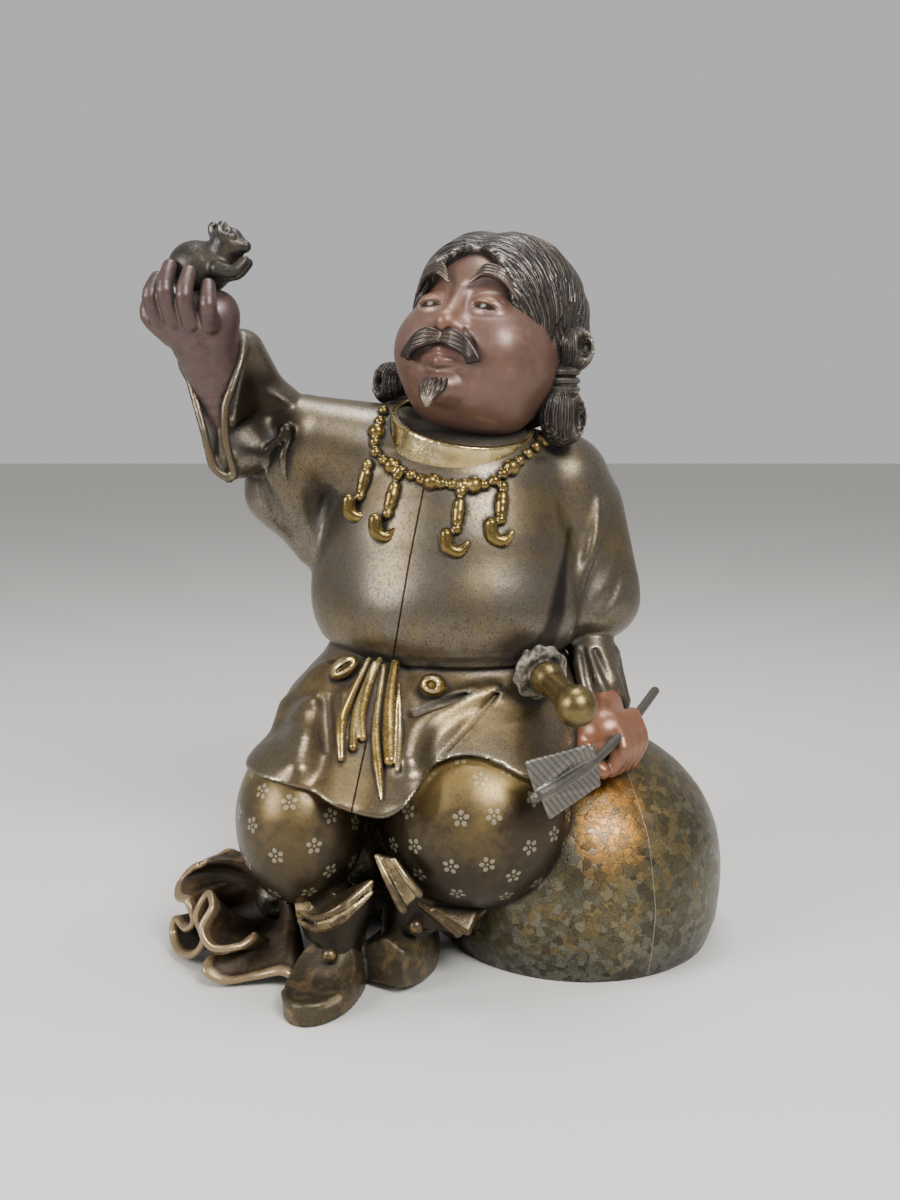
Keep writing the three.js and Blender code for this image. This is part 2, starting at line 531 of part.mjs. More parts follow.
const mouse = () => {
  const body = melt(5, egg([-101, -26, 289], [12, 11, 11]), egg([-105, -24, 289], [8, 10, 9]));
  const neck = limb([-94, -28, 291], [-89, -30, 297], 8, 6.6);
  const muzzle = limb([-89, -31, 299], [-81.5, -33, 297], 5.6, 2.4);
  const ear = carve(0.6, egg([0, 0, 0], [2.6, 2.2, 4.2]), ball([1.5, -1.8, 0.9], 1.9));
  const ears = [[-94.5, -28, 303.6], [-89.5, -36, 303]].map((at) => turned(ear, at, [0, -12, 0]));
  const paws = [-36, -28].map((y) =>
    strand([[-92, y, 288], [-86, y - 1, 287], [-81.5, y, 291]], [3.6, 2.8, 2.2]));
  return melt(2, melt(3, body, neck, muzzle), ...ears, ...paws);
};

// Modelled standing on its guard, then laid in the sash with the pommel towards the viewer.
const hilt = () => {
  const lump = (x, y, z) => 0.9 * Math.sin(Math.atan2(y, x) * 5) * Math.cos(z + x * 0.4);
  const disc = barrel([0, 0], [11, 11], [[-3, 0.88], [0, 1.04], [3, 0.86]]);
  const guard = (x, y, z) => disc(x, y, z) + lump(x, y, z);
  const grip = melt(1.5, ball([0, 0, 7], 7), limb([0, 0, 8], [0, 0, 26], 5.4, 5.6), ball([0, 0, 33], 8.2));
  const tang = limb([0, 0, -6], [0, 0, 2], 6, 6);
  return turned(melt(0.8, guard, grip, tang), [36.5, -53, 128.5], [102, 0, 21]);
};

const arrow = () => {
  const nock = [32, -93, 88.5];
  const bent = [nock, [43, -85, 92], [55, -73, 96], [64, -60, 99.5], [74, -44, 104], [89, -14, 111.5]];
  const shaft = strand(bent, [1.7, 1.8, 1.9, 2, 2, 2]);
  const vanes = [
    [[33, -89.5, 89.4], [29.2, -88, 100.6], [52.5, -76, 103.6], [57.5, -70, 97.5]],
    [[35, -90.5, 88], [38.1, -90, 80], [58, -74, 88], [57.5, -71, 96]],
    [[35, -89, 90], [43, -79, 94], [57, -63, 100], [56, -71, 97]],
  ].map(([a, b, c, d]) => melt(0, panel(a, b, c, 1), panel(a, c, d, 1)));
  return melt(0.8, shaft, ball(nock, 2.3), ...vanes);
};

// Drawing a surface: the space is sampled in small cubes near the form's skin, each cube is split into six
// tetrahedra, and each tetrahedron that the skin passes through gives one or two triangles.
const axisOrders = [[0, 1, 2], [1, 2, 0], [2, 0, 1], [0, 2, 1], [2, 1, 0], [1, 0, 2]];
const sheetsFor = {
  1: [[0, 1, 0, 2, 0, 3]],
  2: [[0, 2, 0, 3, 1, 3], [0, 2, 1, 3, 1, 2]],
  3: [[0, 3, 1, 3, 2, 3]],
};

const drawn = ({ form, at, reach, cell: size }) => {
  const low = at.map((v) => v - reach);
  const counts = low.map(() => Math.ceil(2 * reach / size) + 1);
  const strides = [1, counts[0], counts[0] * counts[1]];
  const samples = new Float32Array(counts[0] * counts[1] * counts[2]).fill(NaN);
  const place = (i) => [
    low[0] + size * (i % counts[0]),
    low[1] + size * (Math.floor(i / strides[1]) % counts[1]),
    low[2] + size * Math.floor(i / strides[2]),
  ];
  const sample = (i) => {
    if (Number.isNaN(samples[i])) samples[i] = form(...place(i)) || 1e-6;
    return samples[i];
  };
  const points = [];
  const pointOn = new Map();
  const crossing = (i, j) => {
    const key = Math.min(i, j) * 8 + axisCode(Math.abs(i - j), strides);
    if (!pointOn.has(key)) {
      const [p, q] = [place(i), place(j)];
      const t = clamp(sample(i) / (sample(i) - sample(j)), 0.01, 0.99);
      pointOn.set(key, points.length);
      points.push(p.map((v, k) => mix(v, q[k], t)));
    }
    return pointOn.get(key);
  };
  const faces = [];
  const drawCube = (corner) => {
    const far = corner + strides[0] + strides[1] + strides[2];
    axisOrders.forEach(([a, b], turn) => {
      const corners = [corner, corner + strides[a], corner + strides[a] + strides[b], far];
      const inside = corners.map((i) => sample(i) < 0);
      const order = [0, 1, 2, 3].sort((p, q) => inside[q] - inside[p] || p - q);
      let flips = turn < 3 ? 0 : 1;
      for (let p = 0; p < 4; p += 1) {
        for (let q = p + 1; q < 4; q += 1) {
          if (order[p] > order[q]) flips += 1;
        }
      }
      for (const ends of sheetsFor[inside.filter(Boolean).length] ?? []) {
        const [p, q, r] = [0, 2, 4].map((k) => crossing(corners[order[ends[k]]], corners[order[ends[k + 1]]]));
        faces.push(flips % 2 ? [p, r, q] : [p, q, r]);
      }
    });
  };
  const block = 5;
  const blockReach = block * size * 1.4;
  for (let k = 0; k < counts[2] - 1; k += block) {
    for (let j = 0; j < counts[1] - 1; j += block) {
      for (let i = 0; i < counts[0] - 1; i += block) {
        const middle = [i, j, k].map((v, axis) => low[axis] + size * (v + block / 2));
        if (Math.abs(form(...middle)) > blockReach) continue;
        for (let c = 0; c < block ** 3; c += 1) {
          const at = [i + c % block, j + Math.floor(c / block) % block, k + Math.floor(c / block ** 2)];
          if (at.every((v, axis) => v < counts[axis] - 1)) {
            drawCube(at[0] + at[1] * strides[1] + at[2] * strides[2]);
          }
        }
      }
    }
  }
  return largestShell({ points, faces });
};

const axisCode = (step, strides) => {
  const z = step >= strides[2] ? 1 : 0;
  const y = step - z * strides[2] >= strides[1] ? 1 : 0;
  return z * 4 + y * 2 + (step - z * strides[2] - y * strides[1]);
};

// A cast piece is one body: bubbles sealed inside it and crumbs beside it are dropped.
const largestShell = ({ points, faces }) => {
  const leader = points.map((_, i) => i);
  const top = (i) => {
    while (leader[i] !== i) {
      leader[i] = leader[leader[i]];
      i = leader[i];
    }
    return i;
  };
  for (const [a, b, c] of faces) {
    leader[top(b)] = top(a);
    leader[top(c)] = top(a);
  }
  const sizes = new Map();
  for (const [a] of faces) sizes.set(top(a), (sizes.get(top(a)) ?? 0) + 1);
  const best = [...sizes].sort((p, q) => q[1] - p[1])[0][0];
  return { points, faces: faces.filter(([a]) => top(a) === best) };
};

// Fewer triangles: each point carries the sum of the squared distances to its own faces' planes, and the
// edge that can be merged at the least cost goes first.
const planes = (p, q, r) => {
  const n = new THREE.Vector3().subVectors(q, p).cross(new THREE.Vector3().subVectors(r, p));
  const area = n.length();
  if (area < 1e-12) return new Float64Array(10);
  n.divideScalar(area);
  const v = [n.x, n.y, n.z, -n.dot(p)];
  const sums = new Float64Array(10);
  let slot = 0;
  for (let i = 0; i < 4; i += 1) {
    for (let j = i; j < 4; j += 1) {
      sums[slot] = v[i] * v[j] * area;
      slot += 1;
    }
  }
  return sums;
};

const stiffness = 0.002;
const merged = (sums, a, b) => {
  const hold = stiffness * (sums[0] + sums[4] + sums[7]) + 1e-9;
  const mid = new THREE.Vector3().addVectors(a, b).multiplyScalar(0.5);
  const [xx, xy, xz, xw, yy, yz, yw, zz, zw, ww] = sums;
  const m = new THREE.Matrix3().set(xx + hold, xy, xz, xy, yy + hold, yz, xz, yz, zz + hold);
  const at = mid.clone().multiplyScalar(hold).sub(new THREE.Vector3(xw, yw, zw)).applyMatrix3(m.invert());
  const { x, y, z } = at;
  const cost = xx * x * x + yy * y * y + zz * z * z + ww
    + 2 * (xy * x * y + xz * x * z + yz * y * z + xw * x + yw * y + zw * z);
  return { at, cost: Math.max(cost, 0) + hold * 0.05 * a.distanceToSquared(b) };
};

class Queue {
  items = [];
  push(item) {
    const { items } = this;
    let i = items.push(item) - 1;
    while (i > 0) {
      const up = (i - 1) >> 1;
      if (items[up].cost <= item.cost) break;
      items[i] = items[up];
      i = up;
    }
    items[i] = item;
  }
  pop() {
    const { items } = this;
    const first = items[0];
    const item = items.pop();
    let i = 0;
    while (2 * i + 1 < items.length) {
      let down = 2 * i + 1;
      if (down + 1 < items.length && items[down + 1].cost < items[down].cost) down += 1;
      if (items[down].cost >= item.cost) break;
      items[i] = items[down];
      i = down;
    }
    if (items.length) items[i] = item;
    return first;
  }
}

const simplified = ({ points, faces }, wanted) => {
  const at = points.map((p) => new THREE.Vector3(...p));
  const corners = faces.map((f) => [...f]);
  const sums = at.map(() => new Float64Array(10));
  const around = at.map(() => new Set());
  const version = new Int32Array(at.length);
  corners.forEach((f, i) => {
    const own = planes(...f.map((v) => at[v]));
    for (const v of f) {
      around[v].add(i);
      own.forEach((value, k) => { sums[v][k] += value; });
    }
  });
  const neighbours = (v) => new Set([...around[v]].flatMap((i) => corners[i]).filter((u) => u !== v));
  const queue = new Queue();
  const offer = (a, b) => {
    const both = sums[a].map((value, k) => value + sums[b][k]);
    queue.push({ a, b, stamp: version[a] + version[b], both, ...merged(both, at[a], at[b]) });
  };
  const [before, after, u, v] = [0, 1, 2, 3].map(() => new THREE.Vector3());
  const normal = (out, p, q, r) => out.crossVectors(u.subVectors(q, p), v.subVectors(r, p));
  const turnsOver = (from, other, to) => [...around[from]].some((i) => {
    if (corners[i].includes(other)) return false;
    normal(before, ...corners[i].map((c) => at[c]));
    normal(after, ...corners[i].map((c) => (c === from ? to : at[c])));
    return before.dot(after) < 0.25 * before.length() * after.length() + 1e-9;
  });
  at.forEach((_, a) => {
    for (const b of neighbours(a)) {
      if (a < b) offer(a, b);
    }
  });
  let left = corners.length;
  while (left > wanted && queue.items.length) {
    const { a, b, stamp, both, at: to } = queue.pop();
    if (stamp !== version[a] + version[b] || !around[a].size || !around[b].size) continue;
    const beside = neighbours(b);
    if (!beside.has(a)) continue;
    const shared = [...neighbours(a)].filter((c) => beside.has(c));
    if (shared.length !== 2 || turnsOver(a, b, to) || turnsOver(b, a, to)) continue;
    for (const i of [...around[b]]) {
      if (corners[i].includes(a)) {
        for (const c of corners[i]) around[c].delete(i);
        left -= 1;
      } else {
        corners[i][corners[i].indexOf(b)] = a;
        around[a].add(i);
      }
    }
    around[b].clear();
    at[a] = to;
    sums[a] = both;
    version[a] += 1;
    for (const c of neighbours(a)) offer(a, c);
  }
  const kept = [...new Set(around.flatMap((set) => [...set]))].map((i) => corners[i]);
  const used = [...new Set(kept.flat())];
  const place = new Map(used.map((v, i) => [v, i]));
  return { points: used.map((v) => at[v]), faces: kept.map((f) => f.map((v) => place.get(v))) };
};

const wasm = await Module();
wasm.setup();

const solid = ({ points, faces }) => new wasm.Manifold(new wasm.Mesh({
  numProp: 3,
  vertProperties: new Float32Array(points.flatMap((p) => p.toArray())),
  triVerts: new Uint32Array(faces.flat()),
}));

// The same surface with every point moved out along its normal, to cut the room that a set-in piece needs.
const swollen = ({ points, faces }, by) => {
  const normals = points.map(() => new THREE.Vector3());
  for (const f of faces) {
    const [p, q, r] = f.map((i) => points[i]);
    const n = new THREE.Vector3().subVectors(q, p).cross(new THREE.Vector3().subVectors(r, p));
    for (const i of f) normals[i].add(n);
  }
  return { points: points.map((p, i) => p.clone().addScaledVector(normals[i].normalize(), by)), faces };
};

const surface = (coordinates, indices) => ({
  points: Array.from({ length: coordinates.length / 3 }, (_, i) =>
    new THREE.Vector3().fromArray(coordinates, i * 3)),
  faces: Array.from({ length: indices.length / 3 }, (_, i) => [...indices.slice(i * 3, i * 3 + 3)]),
});

const underTable = () => {
  const box = new THREE.BoxGeometry(400, 400, 60).translate(0, 0, -30);
  box.deleteAttribute('normal');
  box.deleteAttribute('uv');
  const closed = mergeVertices(box);
  return solid(surface(closed.attributes.position.array, closed.index.array));
};

const mesh = (name, { points, faces }, look) => {
  const geometry = new THREE.BufferGeometry().setFromPoints(points);
  geometry.setIndex(faces.flat());
  const object = new THREE.Mesh(geometry, new THREE.MeshStandardMaterial(look));
  object.name = name;
  return object;
};

// Each area of the casting is drawn with cubes as small as its detail needs, and the areas are then joined.
const areas = [
  { form: clothes, at: [-10, -10, 140], reach: 150, cell: 2.6, triangles: 2300 },
  { form: sackBody(), at: [0, 0, 40], reach: 132, cell: 4, triangles: 380 },
  { form: sackMouth(), at: [-92, -41, 20], reach: 42, cell: 1.6, triangles: 900 },
  { form: wholeHead(), at: [15, -3, 258], reach: 66, cell: 1.7, triangles: 1130 },
  { form: collar(), at: [5, -8, 222], reach: 36, cell: 1.7, triangles: 170 },
  { form: raisedHand(), at: [-104, -32, 256], reach: 42, cell: 1.5, triangles: 420 },
  { form: restingHand(), at: [65, -42, 100], reach: 30, cell: 1.5, triangles: 260 },
  { form: necklace(tunic), at: [2, -45, 205], reach: 55, cell: 1.3, triangles: 500 },
  { form: sash(clothes), at: [-25, -75, 112], reach: 50, cell: 1.3, triangles: 300 },
  { form: kneeTies(), at: [-30, -70, 38], reach: 52, cell: 1.4, triangles: 220 },
  { form: melt(0, rightShoe(), leftShoe()), at: [-35, -65, 15], reach: 50, cell: 1.7, triangles: 260 },
  { form: scabbard(), at: [33, 9, 124], reach: 64, cell: 3, triangles: 60 },
];
const setIn = {
  mouse: simplified(drawn({ form: mouse(), at: [-97, -30, 290], reach: 30, cell: 1.2 }), 380),
  hilt: simplified(drawn({ form: hilt(), at: [40, -66, 127], reach: 36, cell: 1.3 }), 280),
  arrow: simplified(drawn({ form: arrow(), at: [58, -52, 96], reach: 52, cell: 1 }), 260),
};

const castings = areas.map((area) => solid(simplified(drawn(area), area.triangles)));
const rooms = Object.values(setIn).map((piece) => solid(swollen(piece, insetGap)));
let figure = castings.reduce((whole, casting) => whole.add(casting));
figure = rooms.reduce((whole, room) => whole.subtract(room), figure.subtract(underTable()));
const { vertProperties, triVerts } = figure.getMesh();

// The origin is on the table, below the middle of the whole.
const group = new THREE.Group();
group.position.set(1.8, 16.6, 0);
group.add(
  mesh('figure_on_sack', largestShell(surface(vertProperties, triVerts)),
    { color: 0x7a6552, roughness: 0.5, metalness: 0.7 }),
  mesh('mouse', setIn.mouse, { color: 0x6b4a34, roughness: 0.5, metalness: 0.7 }),
  mesh('sword_hilt', setIn.hilt, { color: 0x8c7a58, roughness: 0.55, metalness: 0.6 }),
  mesh('arrow', setIn.arrow, { color: 0x77736c, roughness: 0.55, metalness: 0.7 }),
);

export default group;
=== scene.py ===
# A seated lucky-god figure on a full sack, holding up a mouse: a patinated casting, with three small
# castings set into it. Forms are modelled in millimetres, as in clay, and stand in the frame in metres.
import math
import bpy
import numpy as np
from mathutils import Euler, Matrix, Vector


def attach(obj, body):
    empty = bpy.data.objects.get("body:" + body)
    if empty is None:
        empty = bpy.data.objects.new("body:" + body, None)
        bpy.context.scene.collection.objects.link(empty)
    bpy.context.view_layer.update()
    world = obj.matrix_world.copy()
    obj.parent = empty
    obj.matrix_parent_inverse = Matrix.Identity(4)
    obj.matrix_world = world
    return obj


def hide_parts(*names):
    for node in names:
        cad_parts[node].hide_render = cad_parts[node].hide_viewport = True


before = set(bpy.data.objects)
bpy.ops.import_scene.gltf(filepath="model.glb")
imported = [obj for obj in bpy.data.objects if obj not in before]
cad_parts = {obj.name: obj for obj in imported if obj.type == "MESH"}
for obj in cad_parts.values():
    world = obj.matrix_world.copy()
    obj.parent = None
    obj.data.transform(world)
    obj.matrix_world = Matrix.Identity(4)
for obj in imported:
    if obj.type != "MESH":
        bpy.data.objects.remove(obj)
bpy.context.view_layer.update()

print("frame loaded")


# Plain forms: each is a function of points (n, 3) that says how far outside the form they are
def egg(at, radii):
    at, radii = np.array(at, float), np.array(radii, float)

    def form(p):
        q = (p - at) / radii
        near = np.sqrt((q * q).sum(1))
        return near * (near - 1) / (np.sqrt(((q / radii) ** 2).sum(1)) + 1e-9)
    return form


def ball(at, r):
    at = np.array(at, float)
    return lambda p: np.sqrt(((p - at) ** 2).sum(1)) - r


def limb(a, b, ra, rb):
    a, b = np.array(a, float), np.array(b, float)
    u = b - a

    def form(p):
        q = p - a
        t = np.clip(q @ u / (u @ u), 0, 1)
        return np.sqrt(((q - t[:, None] * u) ** 2).sum(1)) - (ra + (rb - ra) * t)
    return form


def near(at, reach, form, cull=14):
    # further than cull from the ball that holds a small group, the distance to that ball is enough
    at = np.array(at, float)

    def culled(p):
        out = np.sqrt(((p - at) ** 2).sum(1)) - reach
        close = out < cull
        if close.any():
            out[close] = form(p[close])
        return out
    return culled


def smoothRow(values, s):
    # a smooth line through a row of values, read at the fractional places s
    values = np.array(values, float)
    last = len(values) - 1
    i = np.clip(np.floor(s).astype(int), 0, last - 1)
    t = (s - i)[..., None] if values.ndim > 1 else s - i
    a, b, c, d = (values[np.clip(i + k, 0, last)] for k in (-1, 0, 1, 2))
    return b + 0.5 * t * (c - a + t * (2 * a - 5 * b + 4 * c - d + t * (3 * (b - c) + d - a)))


def smoothLine(points, steps):
    return smoothRow(points, np.linspace(0, len(points) - 1, (len(points) - 1) * steps + 1))


def strand(points, radii, steps=4):
    # a cord, finger, lock or fold whose thickness changes along a smooth curve
    line = smoothLine(points, steps)
    thick = np.interp(np.linspace(0, len(radii) - 1, len(line)), np.arange(len(radii)), radii)
    parts = [limb(line[i], line[i + 1], thick[i], thick[i + 1]) for i in range(len(line) - 1)]
    middle = (line.min(0) + line.max(0)) / 2
    reach = np.sqrt(((line - middle) ** 2).sum(1)).max() + thick.max()
    return near(middle, reach, lambda p: np.min([part(p) for part in parts], axis=0))


def strands(*lines):
    # several strands, each a row of points and its radii
    return [strand(points, radii) for points, radii in lines]


def panel(a, b, c, half):
    # a flat sheet with three corners and a rounded edge
    corners = [np.array(v, float) for v in (a, b, c)]
    normal = np.cross(corners[1] - corners[0], corners[2] - corners[0])
    normal /= np.linalg.norm(normal)

    def form(p):
        outside, best = np.zeros(len(p), bool), np.full(len(p), np.inf)
        for start, end in zip(corners, corners[1:] + corners[:1]):
            u, q = end - start, p - start
            outside |= q @ np.cross(u, normal) > 0
            t = np.clip(q @ u / (u @ u), 0, 1)
            best = np.minimum(best, ((q - t[:, None] * u) ** 2).sum(1))
        return np.where(outside, np.sqrt(best), np.abs((p - corners[0]) @ normal)) - half
    return form


def slab(at, half, edge):
    at, half = np.array(at, float), np.array(half, float)

    def form(p):
        q = np.abs(p - at) - half + edge
        return np.sqrt((np.maximum(q, 0) ** 2).sum(1)) + np.minimum(q.max(1), 0) - edge
    return form


def through(stations):
    places, values = zip(*stations)
    return lambda t: smoothRow(values, np.interp(t, places, np.arange(len(places))))


def barrel(at, half, stations):
    # an upright body of oval section, whose size follows the height
    size, low, high, thin = through(stations), stations[0][0], stations[-1][0], min(half)

    def form(p):
        z = p[:, 2]
        slope = (size(z + 0.5) - size(z - 0.5)) * thin
        side = (np.hypot((p[:, 0] - at[0]) / half[0], (p[:, 1] - at[1]) / half[1]) - size(z)) * thin
        return np.maximum(side / np.hypot(1, slope), np.maximum(low - z, z - high))
    return form


def ring(radius, thick):
    return lambda p: np.hypot(np.hypot(p[:, 0], p[:, 1]) - radius, p[:, 2]) - thick


# Ways to put forms together
def softMin(a, b, k):
    h = np.maximum(k - np.abs(a - b), 0) / k if k > 0 else 0
    return np.minimum(a, b) - h * h * k / 4


def melt(k, *forms):
    def form(p):
        out = forms[0](p)
        for other in forms[1:]:
            out = softMin(out, other(p), k)
        return out
    return form


def carve(k, body, *tools):
    def form(p):
        out = body(p)
        for tool in tools:
            out = -softMin(-out, tool(p), k)
        return out
    return form


def common(k, a, b):
    return lambda p: -softMin(-a(p), -b(p), k)


def grown(form, by):
    # by is in millimetres, or a function of points, such as a ripple
    return lambda p: form(p) - (by(p) if callable(by) else by)


def halfSpace(at, toward):
    at, toward = np.array(at, float), np.array(toward, float)
    return lambda p: -((p - at) @ toward)


def turnOf(degrees):
    return np.array(Euler([math.radians(v) for v in degrees], "XYZ").to_matrix())


def turned(form, at, degrees):
    at, there = np.array(at, float), turnOf(degrees)
    return lambda p: form((p - at) @ there)


def frontOf(form, x, z, lift=0.0, start=-125.0, closeBy=0.02):
    # the depth at which a line from the viewer meets a form
    y = start
    for _ in range(400):
        d = form(np.array([[x, y, z]]))[0] - lift
        if d < closeBy:
            break
        y += max(d * 0.5, closeBy)
    return y


def bothSides(make):
    return [make(-1), make(1)]


def eased(value, low, high):
    t = np.clip((value - low) / (high - low), 0, 1)
    return t * t * (3 - 2 * t)


# The figure's own forms, all in one set of millimetres whose zero is 1.8, 16.6 mm off the frame's
zeroAt = np.array([1.8, 16.6, 0.0])
pose = {"bodyTurn": -22, "chestAt": (-2, 2, 0), "chestHalf": (60, 50), "headAt": (17, -5, 258.5),
        "headTurn": (-24, 4, -29), "sackAt": (57, -2), "sackHalf": (63, 65), "clothEdge": 2.6}
headPlace = (np.array(pose["headAt"], float), turnOf(pose["headTurn"]))


def onHead(form):
    # a form made looking straight ahead, put where the head is
    return turned(form, pose["headAt"], pose["headTurn"])


def onBody(stations):
    # a part of the body's own barrel, turned with the chest
    return turned(barrel([0, 0], pose["chestHalf"], stations), pose["chestAt"], (0, 0, pose["bodyTurn"]))


def upperTunic():
    bag = onBody([(127, 0.6), (130, 0.84), (134, 0.94), (142, 1), (152, 1.02), (166, 1), (182, 0.95),
                  (196, 0.85), (207, 0.7), (216, 0.5), (224, 0.3)])
    return melt(10, melt(16, bag, egg([6, 2, 207], [44, 34, 24])), egg([4, -22, 149], [47, 30, 28]))


def thighs():
    return melt(8, egg([-61, -50, 67], [27, 36, 35]),
                turned(egg([0, 0, 0], [40, 36, 37]), [11, -48, 66], [0, 0, 10]),
                egg([-14, 4, 84], [58, 46, 30]))


# the height of the skirt's hem at each x
hemHeight = through([
    (-92, 94), (-84, 91), (-76, 90.5), (-68, 90), (-60, 88.5), (-51, 86), (-41, 82), (-33, 79.5), (-25, 79),
    (-18, 83), (-12, 89), (-7, 94.5), (0, 97.5), (10, 98), (18, 95.5), (30, 89.5), (44, 84), (60, 80)])


def overHem(p):
    return p[:, 2] - hemHeight(p[:, 0]) - np.clip((p[:, 1] + 10) * 0.1, 0, 8)


def laid(form, points, radii, lift, steps=4):
    # a ridge that follows the front of a form, or a crease if lift is below 0: points are (x, z)
    line = [[x, frontOf(form, x, z) + (r if lift > 0 else -r) - lift, z] for (x, z), r in zip(points, radii)]
    return strand(line, radii, steps)


# Ends of the sash: (x, z) along each, and half widths
sashTails = [
    ([(-33.5, 131), (-40, 118), (-43, 110), (-42.5, 98.5)], [1, 1.9, 2.3, 1.4]),
    ([(-31, 130), (-37.4, 113.5), (-38, 102)], [1, 1.7, 1.8]),
    ([(-29, 131), (-33.7, 120), (-35.3, 111.5), (-34.6, 105)], [1.2, 1.9, 2, 1.8]),
    ([(-27, 129), (-29, 114), (-29.3, 106), (-28, 96.5), (-26.2, 86)], [1, 1.5, 1.8, 2.2, 0.5]),
    ([(-22.5, 130), (-24, 117), (-23.7, 106.5), (-23.2, 98.5)], [1.8, 2.6, 3, 2.4]),
    ([(-20.7, 122.5), (-19.8, 107), (-20.4, 96)], [0.8, 1.4, 1.1])]


def skirt():
    waist = onBody([(84, 1.32), (96, 1.27), (108, 1.18), (118, 1.04), (126, 0.92), (136, 0.84)])
    hip, belt, side, outer = [-50, -28, 116], [-30, -36, 119], [24, -31, 121], [-64, -30, 106]
    knee, left, right = [-70, -58, 82], [-46, -78, 77], [-13, -83, 78]
    front = melt(8, panel(hip, belt, left, 9), panel(hip, knee, left, 9), panel(belt, left, right, 9),
                 panel(belt, side, right, 8), panel(hip, outer, knee, 9))
    lap = melt(2.5, melt(14, grown(thighs(), pose["clothEdge"]), waist), front)
    ridges = [laid(lap, [(18, 120), (6, 116), (-4, 111), (-12, 105), (-16, 97)], [1.5, 3.5, 4.5, 5, 4], 2),
              laid(lap, [(-57, 112), (-59, 106), (-58, 100), (-59, 94)], [3, 6, 6, 5], 1.8),
              laid(lap, [(-44, 116), (-43, 111), (-42, 104)], [2, 3.4, 2], 0.9)]
    valleys = [laid(lap, [(9, 118.5), (-3, 115.5), (-14, 112)], [1, 2.4, 1.4], -1.1),
               laid(lap, [(-51, 116), (-49.5, 108), (-48, 101)], [2, 3, 2], -1.2)]
    lapEdge = laid(lap, [(22, 121.5), (8, 109), (-5, 98), (-9, 92)], [1, 1.3, 1.4, 1.2], -0.4)
    pressed = carve(0.6, carve(2.5, melt(6, lap, *ridges), *valleys), lapEdge)
    return carve(1.4, pressed, overHem)


def trousers():
    cuffs = [turned(barrel([0, 0], [18, 15], [(-12, 0.6), (-6, 0.76), (0, 0.84), (9, 0.92)]),
                    [-47, -60, 30], [-14, 8, 0]),
             turned(barrel([0, 0], [22, 16], [(-9, 0.8), (-3, 0.86), (8, 0.92)]), [-9, -48, 29], [-12, 8, 0])]
    ankles = [limb([-47, -58, 32], [-45, -66, 8], 11, 9.5), limb([-14, -46, 32], [-19, -54, 10], 12, 11)]
    legs = melt(3, thighs(), melt(1.2, *cuffs), *ankles)
    return carve(0, legs, lambda p: 4 - overHem(p))


def rightShoe():
    # blunt toe: the top slopes down from the ankle and rises a little to the toe's rim
    body = common(2, egg([0, -11, 3], [14.5, 27, 21]), slab([0, -10, 7], [14.5, 30, 12], 4))
    topped = carve(1, body, limb([-40, -31, 43], [40, -28, 45], 36.5, 36.5))
    rim = strand([[-11.6, -26, 7], [-6.5, -33, 6.6], [0, -35.6, 6.8], [6.5, -33.4, 7.4], [11.8, -26, 8.6]],
                 [0.8, 1.3, 1.3, 1.3, 0.8])
    return melt(2, melt(3, topped, limb([0, -6, 7], [0, 6, 15], 9, 11)), rim)


def leftShoe():
    # the toe is raised: two faces slope down from a ridge, and end at a flat front
    body = common(2, egg([0, -11, 6], [15.5, 27, 20]), slab([0, -10, 10], [15, 30, 13], 3))
    roofed = carve(0.7, body, halfSpace([2, -28, 17], [0.42, -0.16, 0.88]),
                   halfSpace([2, -28, 17], [-0.5, -0.1, 0.84]), halfSpace([0, -28, 14], [-0.2, -0.97, -0.1]))
    return melt(3, roofed, limb([0, -6, 9], [0, 6, 24], 9, 11))


def shoes():
    return melt(0, turned(rightShoe(), [-47, -65, 0.5], [0, 0, -16]),
                turned(leftShoe(), [-18, -46, 2], [-9, 0, -22]))


def ribbon(points, radii, press=1.7):
    # a cord pressed flat in the line of sight
    flat = strand([np.array(point) * (1, press, 1) for point in points], radii, 6)
    return lambda p: flat(p * (1, press, 1)) / (press ** 0.5)


def kneeTies():
    bands = [ribbon([[-61, -68, 33 - i * 4.2], [-52, -79, 35 - i * 4.4], [-42, -83, 41 - i * 4.4],
                     [-31, -77, 49 - i * 4.2]], [0.8, 2, 2, 0.9], 1.2) for i in (0, 1)]
    under = panel([-60, -66, 31], [-32, -75, 47], [-46, -79, 36], 2)
    tie = melt(0.5, panel([-28, -77, 59], [-18.5, -81, 41], [-12.5, -79.5, 46], 1.4),
               panel([-28, -77, 59], [-22, -78, 58], [-12.5, -79.5, 46], 1.4),
               ribbon([[-29, -78, 60], [-23.5, -82, 50], [-18.5, -83, 40]], [0.9, 1.7, 1.9], 1.1),
               ribbon([[-22, -79, 59], [-17, -81.5, 52], [-12, -81, 45.5]], [0.8, 1.3, 1.6], 1.1))
    flap = melt(0.4, panel([-62, -66, 39], [-61, -67, 31], [-55, -70, 33], 1.3),
                panel([-62, -66, 39], [-57, -69, 38], [-55, -70, 33], 1.3))
    frill = melt(0.8, panel([-12, -60, 33], [14, -58, 30], [3, -66, 23], 1.9),
                 panel([-6, -62, 31], [10, -62, 30], [7, -67, 24.5], 2))
    return melt(0.5, *bands, under, tie, flap, frill, ball([-48, -76, 18], 3.4), ball([-14, -66, 26], 3.4))


